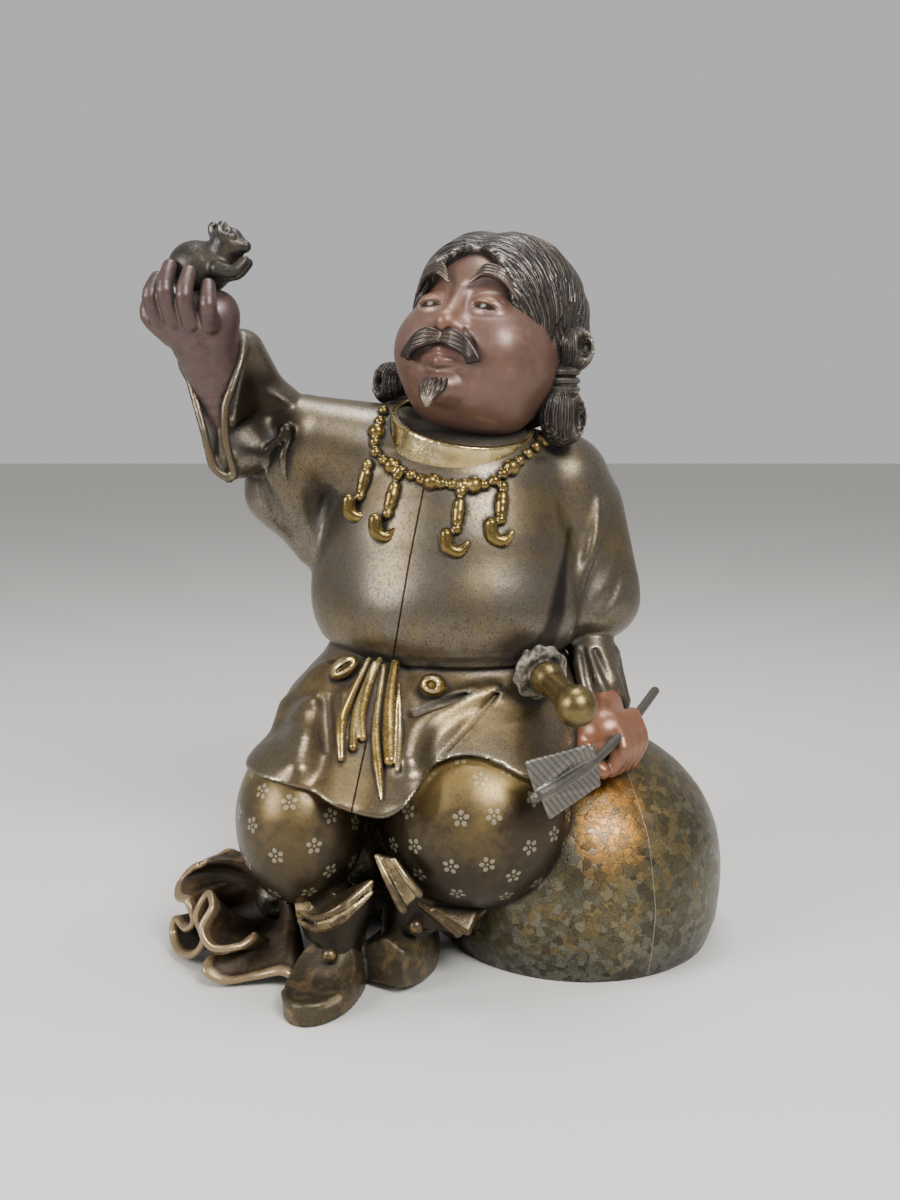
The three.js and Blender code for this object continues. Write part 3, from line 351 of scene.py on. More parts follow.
def sackBody():
    bag = melt(20, barrel(pose["sackAt"], pose["sackHalf"], [
        (-6, 0.9), (2, 0.95), (12, 1), (32, 1.02), (50, 0.98), (64, 0.88), (76, 0.72), (86, 0.5), (93, 0.2)]),
        egg([4, 20, 43], [66, 44, 46]), egg([-46, 8, 32], [34, 28, 30]))
    neck = strand([[-50, -6, 32], [-64, -18, 26.5], [-76, -26, 22]], [24, 14, 9])

    def gather(turn):
        def at(x, y, z, r):
            return [x, y + r * math.cos(turn), z + r * math.sin(turn)]
        return strand([at(-76, -26, 22, 9.5), at(-64, -18, 26.5, 15), at(-50, -6, 32, 25)], [2, 2.2, 0.8])
    return carve(3, melt(10, bag, neck), *[gather(math.radians(-170 + i * 60)) for i in range(6)])


def leftSleeve():
    upper = melt(8, limb([47, 4, 200], [60, 3, 156], 23, 22), limb([63, 6, 190], [73, 3, 148], 12, 9),
                 egg([59, 1, 148], [21, 22, 18]))
    creases = strands(
        ([[60, -24, 196], [55, -26, 180], [49, -27, 162], [42, -30, 138]], [0.6, 2.5, 4, 5]),
        ([[67, -21, 190], [65, -23, 175], [58, -25, 156], [52, -25, 145]], [0.4, 1.6, 2.6, 2]),
        ([[74, -14, 172], [71, -18, 160], [64, -22, 148]], [0.3, 1.4, 2]))
    ridges = strands(
        ([[63, -14, 194], [60.5, -18.6, 176], [54, -20.5, 160], [49, -20, 148]], [1, 2.4, 2.8, 1.6]),
        ([[70, -11, 172], [66, -15.8, 156], [58, -18, 145]], [1, 2.5, 2]))
    cuff = melt(3, limb([61.5, -8, 132], [63, -20, 114], 10, 11.5),
                panel([55, -22, 126], [74, -17, 107], [59, -31, 111], 2.6),
                panel([71, -12, 128], [76, -15, 107], [66, -2, 112], 2.6))
    folds = strands(
        ([[55, -18, 131], [55.5, -27, 120], [58, -32, 110]], [1.6, 2.2, 1.6]),
        ([[58.5, -19, 131], [62, -28, 121], [67, -31, 110]], [1.2, 2.2, 2]),
        ([[65, -18, 130], [70, -25, 119], [75, -24, 107]], [1.2, 2, 1.8]))
    between = strands(
        ([[57, -20, 131], [58.5, -30, 121], [61.5, -34.5, 110]], [0.8, 1.7, 2]),
        ([[62, -20, 131], [66.5, -29.5, 121], [71, -31.5, 114], [74.5, -29.5, 107]], [0.8, 1.7, 1.8, 1.6]),
        ([[71, -14, 127], [74, -21, 117], [78, -22, 108]], [0.5, 1.3, 1.3]))
    gathered = carve(1.2, melt(2, cuff, *folds), *between)
    return melt(1.2, melt(3, carve(4, upper, *creases), *ridges), gathered, ball([70, -10, 128], 3.4))


def rightSleeve():
    # a cuff that opens towards the viewer down to a point, its two lips, and a hanging pouch
    shoulder = melt(12, limb([-26, 2, 210], [-62, -4, 221], 25, 18),
                    limb([-73, -5, 214], [-74, -3, 197], 14, 12),
                    limb([-73, -3, 197], [-59, 2, 174], 12.5, 10))
    creases = strands(
        ([[-34, -27, 229], [-43, -29, 208], [-52, -27, 191], [-57, -17, 174]], [1, 2, 3, 4]),
        ([[-70, -25, 216], [-72, -20, 200], [-64, -14, 180]], [1.5, 3, 2]),
        ([[-60, -24, 212], [-63, -20, 196], [-60, -14, 182]], [0.8, 1.8, 1.2]),
        ([[-79, -17, 204], [-74, -16, 190], [-66, -10, 176]], [0.6, 1.6, 1.2]))
    top, outer, tip, elbow = [-87, -15, 256], [-104, -15, 253], [-92, -21, 213], [-74, -7, 229]
    bell = melt(6, panel(top, tip, elbow, 8.5), panel(outer, tip, elbow, 7.5), panel(top, outer, elbow, 8.5),
                ball(elbow, 14), egg([-83, -19, 215], [10, 9, 9]))
    inFront = halfSpace([-95, -31, 235], [0.13, -0.98, 0.15])
    mouth = melt(5, limb([-97, -46, 252], [-92, -16, 243], 11.5, 7),
                 limb([-94.5, -46, 243], [-89, -20, 238], 7, 5))
    trough = strand([[-96, -41, 236], [-95.5, -38, 222], [-93.5, -35, 208]], [3, 4, 2.5])
    fold = strand([[-66, -22, 231], [-73, -26, 231], [-78, -28, 237], [-80, -27, 247]], [4, 8, 6.5, 3])
    lips = strands(
        ([[-86, -20, 263], [-84.5, -28, 255], [-88, -33, 242], [-91, -34.5, 233], [-91, -34, 220],
          [-88.5, -30, 206]], [1.5, 1.7, 1.8, 1.8, 1.7, 1.6]),
        ([[-111, -22, 259], [-105.5, -28, 242], [-100.5, -32, 225], [-97, -31, 210], [-91, -30, 204.5]],
         [1.6, 1.7, 1.7, 1.7, 1.8]))
    wall = panel([-84.5, -23, 258], [-89, -31, 227], [-78, -16, 238], 2.2)
    cuff = melt(1.8, carve(1.5, carve(3, carve(1, bell, inFront), fold), mouth, trough), wall, *lips)
    bow = strands(([[-69, -24, 222], [-75, -25, 216], [-76, -24, 207]], [1.4, 2.2, 0.8]),
                  ([[-66, -24, 221], [-69, -26, 213], [-68, -24, 204]], [1.4, 2, 0.8]))
    return melt(1.4, carve(3.5, shoulder, *creases), cuff, ball([-68, -23, 224], 3.4), *bow)


def raisedHand():
    fingers = [strand(joints, [4, 3.5, 2.9]) for joints in (
        [[-116, -34, 268], [-118.5, -39, 277], [-116.5, -35, 284.5]],
        [[-109.5, -38, 268], [-112, -43, 279], [-111, -37, 289]],
        [[-102.5, -40, 267], [-104, -45, 277], [-103, -39, 286.5]],
        [[-95.5, -39, 266], [-95, -44, 273.5], [-95.5, -39, 281.5]],
        [[-113, -30, 262], [-121.5, -30, 270], [-121, -27, 278]])]
    wrist = strand([[-95, -22, 226], [-96, -24, 243], [-99, -27, 258]], [6, 10.5, 13.5])
    palm = melt(6, egg([-104, -31, 269], [15, 9.5, 11]), wrist, egg([-93, -30, 271], [8, 7, 9]))
    return melt(1.6, palm, *fingers)


def restingHand():
    palm = melt(5, egg([63, -43, 100], [11.5, 10.5, 11]), limb([65, -20, 112], [65, -40, 102], 8, 9))
    fingers = [strand([[67 + i * 3, -46 + i * 3, 106], [70 + i * 3, -54 + i * 4.5, 97],
                       [66 + i * 3.2, -52 + i * 4, 87.5]], [3.8, 3.7, 3.2]) for i in range(4)]
    thumb = strand([[56, -44, 100], [56, -52, 93], [62, -56, 88]], [4.2, 4, 3.2])
    return melt(1.4, palm, thumb, *fingers)


# Head, made looking straight ahead along -y
headSqueeze = np.array([0.87, 0.96, 0.91])


def squeezed(form, factors):
    return lambda p: form(p / factors) * factors.min()


def face():
    skull = melt(14, egg([0, 4, 14], [37, 40, 34]), egg([0, -4, -12], [37, 33, 28]),
                 egg([0, -8, -32], [25, 24, 12]), *bothSides(lambda s: ball([s * 19, -20, -12], 15)))
    sockets = bothSides(lambda s: egg([s * 14, -41, 4], [9.5, 6, 5.5]))
    lids = bothSides(lambda s: egg([s * 14, -32, 3], [8.8, 6.6, 5.8]))
    openings = bothSides(lambda s: turned(
        egg([0, 0, 0], [7, 5, 1.5]), [s * 14, -38.5, 1.6], [0, s * 7, s * 12]))
    eyes = bothSides(lambda s: egg([s * 14, -31.6, 2.4], [7.6, 5.6, 4.8]))
    lidFolds = bothSides(lambda s: strand(
        [[s * 6, -37, 5.5], [s * 13.5, -39, 9.2], [s * 22, -34, 5]], [0.5, 0.8, 0.5]))
    nose = melt(3, limb([0, -35, 9], [0, -39.5, -7], 3.2, 4.4), ball([0, -41, -9], 5.2),
                *bothSides(lambda s: ball([s * 5.6, -38, -10.5], 3.8)))
    nostrils = bothSides(lambda s: ball([s * 3.4, -42, -13.6], 1.5))
    lips = melt(1.4, strand([[-9.5, -35, -21.5], [0, -38.6, -21], [9.5, -35, -21.5]], [1.4, 2.6, 1.4]),
                strand([[-8.5, -35, -24], [0, -38.2, -26], [8.5, -35, -24]], [1.4, 3, 1.4]))
    mouthLine = strand([[-9.5, -37.4, -23], [-4, -40.6, -23.4], [0, -40.9, -23.1], [4, -40.6, -23.4],
                        [9.5, -37.4, -23]], [0.3, 0.6, 0.6, 0.6, 0.3])
    chin = egg([0, -31, -35], [10, 7.5, 7])
    cheekLines = bothSides(lambda s: strand(
        [[s * 9.5, -39, -11], [s * 14, -38, -17], [s * 16, -35.5, -24]], [0.4, 1.2, 0.4]))
    flesh = carve(1.6, melt(3, melt(4, carve(5, skull, *sockets), nose, chin), *lids, lips), *cheekLines)
    cut = carve(0.7, flesh, *openings, *lidFolds, *nostrils, mouthLine)
    return squeezed(melt(0.3, cut, *eyes), headSqueeze)


def bundle(lines, radii, twist=0.5):
    # several fine locks that lie side by side
    return melt(twist, *[strand(line, radii) for line in lines])


def whiskers():
    brows = bothSides(lambda s: bundle(
        [[[s * (5.5 + 0.8 * i), -39.6, 11.2 + 1.5 * i], [s * 12, -40.2 + 0.3 * i, 15 + 1.6 * i],
          [s * 20, -37 + 0.2 * i, 14.2 + 1.5 * i],
          [s * (27 - 1.4 * i), -31.4, 8.6 + 2 * i]] for i in range(4)],
        [0.5, 1.15, 1.15, 0.5], 0.15))
    moustache = bothSides(lambda s: bundle(
        [[[s * 1, -42.8 + 0.2 * i, -14.6 - 1.2 * i], [s * 6.5, -44 + 0.4 * i, -14.4 - 1.9 * i],
          [s * (12.5 + 0.3 * i), -42.4 + 0.3 * i, -16.6 - 1.9 * i],
          [s * (17.5 - 0.5 * i), -39.6, -21.5 - 1.2 * i],
          [s * (20 - 1.7 * i), -38.6, -24.4 - 0.4 * i]] for i in range(4)],
        [1, 1.4, 1.6, 1.7, 1], 0.15))
    beard = bundle([[[x, -36.4 - 0.5 * (4.5 - abs(x)), -34.5 + 0.3 * abs(x)],
                     [x * 1.1, -38.6 - 0.4 * (4.5 - abs(x)), -38.5],
                     [x * 0.6, -39, -43.5], [x * 0.15, -38, -47]] for x in (-5.2, -3.1, -1, 1, 3.1, 5.2)],
                   [0.9, 1.15, 1, 0.5], 0.15)
    return squeezed(melt(0.2, *brows, *moustache, beard), headSqueeze)


hairMake = {"locks": 26, "lockDepth": 0.8, "fineLocks": 78, "fineDepth": 0.22, "gatherAt": (2, -16)}


def combAngle(p):
    # hair is combed from the parting to a point at each side, so a lock lies in a plane through both points
    return np.arctan2(p[:, 1] - hairMake["gatherAt"][0], p[:, 2] - hairMake["gatherAt"][1])


def hair():
    halves = melt(1.5, *bothSides(lambda s: egg([s * 7, 5, 14], [29, 42.5, 36])))
    cap = melt(4, halves, egg([-1, 12, -6], [34, 30, 26]))
    brow = common(2, *bothSides(lambda s: egg([s * -6, -50, -9], [33.5, 42, 42])))
    parting = strand([[0, -38, 34], [0, -30, 44], [0, -12, 51], [0, 24, 48]], [1.2, 1.8, 2, 1])
    lowerEdge = halfSpace([0, -6, -24], [0, -0.55, -0.84])

    def locks(p):
        across = np.abs(p[:, 0])
        turn = combAngle(p) + 0.02 * np.sin(across * 0.35 + combAngle(p) * 9)
        spread = np.clip(across / 14, 0.15, 1)
        return -spread * (hairMake["lockDepth"] * np.abs(np.cos(turn * hairMake["locks"] / 2)) ** 3
                          + hairMake["fineDepth"] * np.cos(turn * hairMake["fineLocks"]))
    return carve(2, carve(2.5, grown(cap, locks), brow, lowerEdge), parting)


def hairKnot(side):
    upper = carve(1.5, egg([side * 4, 0, 11], [8.5, 8, 9.5]), egg([side * 9, -6, 12], [3, 9, 5]))
    lower = carve(1.5, egg([0, -2, -17], [10, 8.5, 12.5]), egg([side * 7, -7, -17], [2.2, 9, 7.5]))

    def locks(p):
        turn = np.arctan2(p[:, 1], p[:, 0])
        return -0.55 * np.abs(np.cos(turn * 9)) ** 3 - 0.2 * np.cos(turn * 34)
    ties = [turned(ring(5.4, 1.4), [0, 0, z], [0, 0, 0]) for z in (1.5, -2, -5.5)]
    return melt(0.9, grown(upper, locks), grown(lower, locks), limb([0, 0, 4], [0, 0, -8], 4.6, 4.6), *ties)


def allHair():
    return melt(0.8, onHead(hair()), turned(hairKnot(1), [47.5, -17, 246.5], [0, 0, -12]),
                turned(hairKnot(-1), [-22, 8, 232.5], [0, 0, -12]))


def collar():
    across, deep = 32, 30.5
    band = carve(0.5, barrel([0, 0], [across, deep], [(-9, 1.06), (0, 1), (7, 0.95)]),
                 barrel([0, 0], [across - 3.5, deep - 3.5], [(0, 1), (9, 0.97)]))
    return turned(band, [4.5, -8, 221.5], [20, 8, 0])


# What the cloth carries lies on it, at the depth where the cloth meets the line from the viewer
necklaceMake = {
    "bead": 2.4, "beads": 22, "largeEvery": 4, "large": 1.5, "sink": 0.8,
    "line": [(-28, 232), (-31, 221), (-30, 214), (-20, 208), (-8, 204), (4, 203), (15, 203), (23, 208),
             (31, 214), (39, 220)],
    # x and z of the top and of the end of each pendant
    "pendants": [(-34, 210, -38.5, 192), (-21.5, 206, -27, 185), (4.5, 200, 2, 180), (21.5, 202, 20, 184)]}


def necklace(cloth):
    def onCloth(x, z):
        return np.array([x, frontOf(cloth, x, z, necklaceMake["sink"]), z])
    fine = smoothLine(necklaceMake["line"], 20)
    walked = np.concatenate([[0], np.cumsum(np.hypot(*np.diff(fine, axis=0).T))])
    count = necklaceMake["beads"]
    beads = []
    for i in range(count + 1):
        x, z = (np.interp(i / count * walked[-1], walked, fine[:, k]) for k in (0, 1))
        large = i % necklaceMake["largeEvery"] == 2
        beads.append(ball(onCloth(x, z), necklaceMake["bead"] * (necklaceMake["large"] if large else 1)))
    for x0, z0, x1, z1 in necklaceMake["pendants"]:
        def at(t):
            return onCloth(x0 + (x1 - x0) * t, z0 + (z1 - z0) * t)
        end = at(1)
        beads += [ball(at(0), 2.4), limb(at(0.22), at(0.55), 2.6, 2.6), ball(at(0.72), 2.4),
                  ball(at(0.38), 2.9),
                  strand([end + (-3.5, 0, 3.5), end + (-3, 0, -1.5), end + (1.5, 0, -3.5), end + (5, 0, 0)],
                         [2.8, 3, 2.6, 1.3])]
    return melt(0.5, *beads)


def sash(cloth):
    def tail(line, radii):
        return ribbon([[x, frontOf(cloth, x, z, 1.3), z] for x, z in line], radii, 1.2)

    def loop(x, z, tilt, size, hole, shift):
        at = [x, frontOf(cloth, x, z, 3), z]
        return turned(carve(0.5, egg([0, 0, 0], size), egg(shift, hole)), at, [0, -tilt, 0])
    loops = [loop(-43.6, 127.5, 35, [6.8, 4.8, 4.2], [4.6, 3, 1.1], [0.8, -4.1, 0.9]),
             loop(-6.8, 122.3, -10, [5.8, 4.8, 5], [2.3, 3.4, 2], [-1, -4.1, 1])]
    return melt(0.3, *loops, *[tail(line, radii) for line, radii in sashTails])


def mouse():
    body = melt(5, egg([-101, -26, 289], [12, 11, 11]), egg([-105, -24, 289], [8, 10, 9]))
    neck = limb([-94, -28, 291], [-89, -30, 297], 8, 6.6)
    muzzle = limb([-89, -31, 299], [-81.5, -33, 297], 5.6, 2.4)
    brow = limb([-91, -31, 301], [-86, -32, 301.5], 3.6, 2.4)
    ears = [carve(0.6, turned(egg([0, 0, 0], [2.6, 2.2, 3.7]), place, [0, -12, 0]),
                  ball(np.array(place) + (1.5, -1.8, 0.6), 1.9))
            for place in ([-94.5, -28, 303.6], [-89.5, -36, 303])]
    paws = [strand([[-92, y, 288], [-86, y - 1, 287], [-81.5, y, 291]], [3.6, 2.8, 2.2]) for y in (-36, -28)]
    eyes = [ball([-85.8, y, 300.4], 1.1) for y in (-35.8, -28.6)]
    smile = strand([[-80, -36.6, 295.6], [-84, -36.6, 295], [-87, -36.4, 296.4]], [0.5, 0.6, 0.4])
    return melt(0.4, carve(0.5, melt(2, melt(3, body, neck, muzzle), brow, *ears, *paws), smile), *eyes)


hiltPlace = ((36.5, -53, 128.5), (102, 0, 21))  # where its guard is, and its turn in degrees


def hilt():
    # modelled standing on its guard, then laid in the sash with the pommel towards the viewer
    def rough(p):
        return -0.9 * np.sin(np.arctan2(p[:, 1], p[:, 0]) * 5) * np.cos(p[:, 2] + p[:, 0] * 0.4)
    guard = grown(barrel([0, 0], [11, 11], [(-3, 0.88), (0, 1.04), (3, 0.86)]), rough)
    grip = melt(1.5, ball([0, 0, 7], 7), limb([0, 0, 8], [0, 0, 26], 5.4, 5.6), ball([0, 0, 33], 8.2))
    return turned(melt(0.8, guard, grip, limb([0, 0, -6], [0, 0, 2], 6, 6)), *hiltPlace)


arrowLine = [[32, -93, 88.5], [43, -85, 92], [55, -73, 96], [64, -60, 99.5], [74, -44, 104], [89, -14, 111.5]]


def arrow():
    upper = [[33, -89.5, 89.4], [29.2, -88, 100.6], [52.5, -76, 103.6], [57.5, -70, 97.5]]
    lower = [[35, -90.5, 88], [38.1, -90, 80], [58, -74, 88], [57.5, -71, 96]]
    behind = [[35, -89, 90], [43, -79, 94], [57, -63, 100], [56, -71, 97]]
    vanes = [panel(a, b, c, 0.9) for first, second, third, fourth in (upper, lower, behind)
             for a, b, c in ((first, second, third), (first, third, fourth))]
    return melt(0.8, strand(arrowLine, [1.7, 1.8, 1.9, 2, 2, 2]), ball(arrowLine[0], 2.3), *vanes)


tunic = melt(5, upperTunic(), near([62, 0, 165], 66, leftSleeve()), near([-72, -8, 214], 62, rightSleeve()))
clothes = melt(0.6, tunic, melt(0.8, skirt(), trousers()))


# Drawing a form's skin: space is sampled near the skin, each cell that the skin crosses gets a point, and
# the points are pulled onto the form itself
def sampled(form, low, high, cell, block=6, atOnce=1500):
    low = np.array(low, float)
    blocks = np.ceil((np.array(high) - low) / (cell * block)).astype(int)
    centres = (np.indices(blocks).reshape(3, -1).T + 0.5) * (block * cell) + low - cell / 2
    coarse = form(centres).reshape(blocks)
    values = coarse.astype(np.float32)
    for axis in range(3):
        values = np.repeat(values, block, axis)
    steps = np.indices((block,) * 3).reshape(3, -1).T
    close = np.argwhere(np.abs(coarse) < block * cell * 1.25 + 0.6)
    for start in range(0, len(close), atOnce):
        index = (close[start:start + atOnce, None] * block + steps).reshape(-1, 3)
        values[tuple(index.T)] = form(low + index * cell)
    return low, values


def slopeOf(form, p, reach):
    out = np.zeros_like(p)
    for way in ((1, -1, -1), (-1, -1, 1), (-1, 1, -1), (1, 1, 1)):
        way = np.array(way, float)
        out += form(p + way * reach)[:, None] * way
    return out / (4 * reach)


def normalised(v):
    return v / np.maximum(np.sqrt((v * v).sum(1)), 1e-9)[:, None]


def skinOf(form, low, high, cell):
    low, values = sampled(form, low, high, cell)
    inside = values < 0
    shape = np.array(inside.shape) - 1
    total = np.zeros(shape, np.int8)
    corners = [np.array(c) for c in np.ndindex(2, 2, 2)]
    for c in corners:
        total += inside[tuple(slice(c[k], c[k] + shape[k]) for k in range(3))]
    mixed = (total > 0) & (total < 8)
    index = np.argwhere(mixed)
    number = np.full(shape, -1)
    number[mixed] = np.arange(len(index))
    place, count = np.zeros((len(index), 3)), np.zeros(len(index))
    for start in corners:
        for axis in range(3):
            if start[axis] == 0:
                end = start.copy()
                end[axis] = 1
                a, b = values[tuple((index + start).T)], values[tuple((index + end).T)]
                crossed = (a < 0) != (b < 0)
                t = np.where(crossed, a / np.where(crossed, a - b, 1), 0)
                place += crossed[:, None] * (start + t[:, None] * (end - start))
                count += crossed
    points = low + (index + place / count[:, None]) * cell
    quads = []
    for axis in range(3):
        u, v = np.eye(3, dtype=int)[[(axis + 1) % 3, (axis + 2) % 3]]
        ahead = np.roll(inside, -1, axis)
        crossed = np.argwhere(inside != ahead)
        crossed = crossed[(crossed > 0).all(1) | ((crossed > 0).sum(1) == 2) & (crossed[:, axis] == 0)]
        crossed = crossed[(crossed < shape).all(1)]
        around = [number[tuple((crossed - step).T)] for step in (0, u, u + v, v)]
        faces = np.stack(around, 1)
        outward = inside[tuple(crossed.T)]
        faces[~outward] = faces[~outward][:, ::-1]
        quads.append(faces)
    for _ in range(2):
        slope = slopeOf(form, points, cell * 0.25)
        steep = np.maximum((slope * slope).sum(1), 0.2)
        step = -form(points)[:, None] * slope / steep[:, None]
        long = np.sqrt((step * step).sum(1))[:, None]
        points += step * np.minimum(1, cell * 0.6 / np.maximum(long, 1e-9))
    return points, np.concatenate(quads)


def meshOf(name, points, faces):
    mesh = bpy.data.meshes.new(name)
    mesh.vertices.add(len(points))
    mesh.vertices.foreach_set("co", ((points + zeroAt) / 1000).astype(np.float32).ravel())
    mesh.loops.add(faces.size)
    mesh.loops.foreach_set("vertex_index", faces.astype(np.int32).ravel())
    mesh.polygons.add(len(faces))
    mesh.polygons.foreach_set("loop_start", np.arange(0, faces.size, faces.shape[1], dtype=np.int32))
    mesh.polygons.foreach_set("use_smooth", np.ones(len(faces), bool))
    mesh.update(calc_edges=True)
    mesh.validate()
    piece = bpy.data.objects.new(name, mesh)
    bpy.context.scene.collection.objects.link(piece)
    return piece


def normalsOf(piece):
    normals = np.zeros(len(piece.data.vertices) * 3, np.float32)
    piece.data.vertex_normals.foreach_get("vector", normals)
    return normals.reshape(-1, 3).astype(float)


def keep(piece, name, values):
    # a number (or a triple) for each point of the piece, for its material to read
    kind, key = ("FLOAT_VECTOR", "vector") if values.ndim > 1 else ("FLOAT", "value")
    piece.data.attributes.new(name, kind, "POINT").data.foreach_set(key, values.astype(np.float32).ravel())


# name: form, lowest and highest corner of its room in mm, cell in mm
pieces = {
    "tunic": (tunic, (-122, -66, 100), (102, 62, 270), 1.35),
    "skirt": (skirt(), (-98, -98, 74), (84, 76, 140), 1.2),
    "trousers": (trousers(), (-94, -92, -2), (66, 54, 118), 1.3),
    "sack": (sackBody(), (-98, -76, -6), (128, 72, 98), 1.7),
    "face": (onHead(face()), (-40, -66, 196), (72, 50, 312), 0.8),
    "whiskers": (onHead(whiskers()), (-45, -70, 200), (60, 20, 300), 0.5),
    "hair": (allHair(), (-48, -48, 208), (72, 56, 314), 0.75),
    "collar": (collar(), (-34, -48, 204), (42, 30, 240), 0.9),
    "necklace": (necklace(tunic), (-50, -80, 168), (52, 0, 244), 0.7),
    "sash": (sash(clothes), (-60, -100, 78), (14, -40, 142), 0.7),
    "raised_hand": (raisedHand(), (-132, -56, 216), (-74, -8, 296), 0.7),
    "resting_hand": (restingHand(), (44, -70, 78), (92, -8, 126), 0.7),
    "knee_ties": (kneeTies(), (-72, -94, 8), (22, -48, 70), 0.8),
    "shoes": (shoes(), (-78, -112, -8), (10, -22, 42), 1.1),
    "scabbard": (limb([37, -40, 129], [30, 58, 120], 7, 5), (20, -54, 108), (50, 70, 142), 1.2),
    "mouse": (mouse(), (-122, -52, 272), (-74, -8, 314), 0.7),
    "sword_hilt": (hilt(), (20, -98, 108), (64, -32, 150), 0.7),
    "arrow": (arrow(), (20, -104, 72), (98, -4, 122), 0.6),
}
ownNodes = ("mouse", "sword_hilt", "arrow")  # the rest is the one casting, figure_on_sack
print("forms ready")


def wholeForm(p, furthest=12.0, around=6):
    # how far a point is from all of the figure, up to 12 mm
    out = np.full(len(p), furthest)
    for form, low, high, cell in pieces.values():
        close = ((p > np.array(low) - around) & (p < np.array(high) + around)).all(1)
        if close.any():
            out[close] = np.minimum(out[close], form(p[close]))
    return out


# The sack's mouth: cloth gathered at the tie that opens out in folds, in one sheet with a rolled rim
mouthMake = {
    "around": 420, "along": 46, "wall": 3.6, "rim": 3.0, "flare": 5, "last": 0.97, "tieAt": (-76, -27, 21),
    "tieRadius": 9, "softness": (1, 2, 3, 4, 4, 4, 3, 2, 1), "rimLine": [
        (-96, -16, 39), (-103, -20, 38), (-108, -28, 38), (-114, -24, 34), (-119, -24, 28),
        (-118, -34, 25), (-112, -42, 26), (-109, -44, 18), (-114, -38, 12), (-120, -31, 14),
        (-121.5, -32, 7), (-117, -42, 3.5), (-109, -50, 6), (-104, -51, 13), (-106, -55, 26),
        (-101, -54, 36), (-98, -61, 33), (-102, -66, 25), (-97, -69, 18), (-86, -67, 18),
        (-81, -61, 20), (-88, -59, 14), (-99, -61, 11), (-101, -67, 6.5), (-93, -69, 2.4),
        (-80, -68, 4), (-69, -69, 6.5), (-62, -69, 3.5), (-60, -58, 5.5), (-67, -44, 6), (-75, -24, 8),
        (-84, -12, 25)]}


def unit(v):
    return v / np.linalg.norm(v, axis=-1, keepdims=True)


def sackMouth():
    rim = np.array(mouthMake["rimLine"], float)
    count = len(rim)
    soft = sum(np.roll(rim, k, 0) * share for k, share in zip(range(-4, 5), mouthMake["softness"]))
    soft = soft / sum(mouthMake["softness"])
    tie = np.array(mouthMake["tieAt"], float)
    axis = soft.mean(0) - tie
    left = unit(np.cross(unit(axis), (0, 0, 1)))
    up = np.cross(left, unit(axis))

    def onRing(line, u):
        # u runs once around a closed line
        return smoothRow(np.concatenate([line[-2:], line, line[:3]]), u * count + 2)

    def middle(u, v):
        u = np.mod(u, 1)
        turn = 2 * np.pi * u[..., None]
        folded, plain = onRing(rim, u), onRing(soft, u)
        around = np.cos(turn) * up + np.sin(turn) * left
        v = np.clip(v, 0, 1.05)[..., None]
        base = (tie + mouthMake["tieRadius"] * around) * (1 - v) + plain * v
        flare = mouthMake["flare"] * np.sin(np.pi * np.clip(v, 0, 1))
        return base + (folded - plain) * v ** 1.5 + around * flare

    def frameAt(u, v):
        across = middle(u + 0.003, v) - middle(u - 0.003, v)
        down = middle(u, v + 0.01) - middle(u, v - 0.01)
        return unit(np.cross(across, down)), unit(down)
    around, along, last = mouthMake["around"], mouthMake["along"], mouthMake["last"]
    # rows run up the outside, around the rolled rim and down the inside
    rows = [(v, 0.0) for v in np.linspace(0, last, along)]
    rows += [(last, turn) for turn in np.linspace(0, np.pi, 9)[1:-1]]
    rows += [(v, np.pi) for v in np.linspace(last, 0, along)]
    u, v = np.meshgrid(np.arange(around) / around, [row[0] for row in rows])
    angle = np.array([row[1] for row in rows])[:, None, None]
    out, down = frameAt(u, v)
    thin = mouthMake["wall"] * (1 - 0.45 * v)
    half = (thin + (mouthMake["rim"] - mouthMake["wall"] * 0.57) * eased(v, 0.86, 0.95))[..., None] / 2
    points = middle(u, v) + half * (np.cos(angle) * out + np.sin(angle) * down)
    fold = ((onRing(rim, u) - onRing(soft, u)) * out).sum(-1)
    wave = np.clip(fold * np.cos(angle[..., 0]) / 7, -1, 1).ravel()
    inner = (np.cos(angle[..., 0]) < 0) * np.ones_like(u)
    i, j = np.meshgrid(np.arange(around), np.arange(len(rows)))
    a, c = j * around + i, (j + 1) % len(rows) * around + i
    b, d = j * around + (i + 1) % around, (j + 1) % len(rows) * around + (i + 1) % around
    v = v.ravel()
    low = np.clip(0.12 - 0.6 * wave * eased(v, 0, 0.5) + 0.1 * inner.ravel(), 0, 1)
    low = low * (1 - eased(v, 0.88, 0.95)) + 0.4 * (1 - eased(v, 0.1, 0.4))
    high = 0.7 * eased(v, 0.87, 0.95) + 0.3 * np.clip(wave, 0, 1) * v
    return points.reshape(-1, 3), np.stack([a, b, d, c], -1).reshape(-1, 4), low, high


made = {}


def putIn(name, points, faces, node):
    made[name] = meshOf(name, points, faces)
    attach(made[name], "root")
    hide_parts(node)
    print(name, len(faces) * 2, "triangles")


flatAt = {"forms": 0.05, "mouth": 0.1}  # mm above the table at which the underside is cut flat
for name, (form, low, high, cell) in pieces.items():
    flat = common(0, form, lambda p: flatAt["forms"] - p[:, 2])
    putIn(name, *skinOf(flat, low, high, cell), name if name in ownNodes else "figure_on_sack")
points, faces, mouthHollow, mouthProud = sackMouth()
points[:, 2] = np.maximum(points[:, 2], flatAt["mouth"])
putIn("sack_mouth", points, faces, "figure_on_sack")


# Hollows and worn edges: how much of the figure stands around each point, and how little stands behind it.
# Each is looked for at a few distances in mm, and each distance has its share
wearMake = {"hollow": ((1.2, 0.3), (3.5, 0.4), (9.0, 0.3)), "proud": ((0.9, 0.5), (2.2, 0.5))}


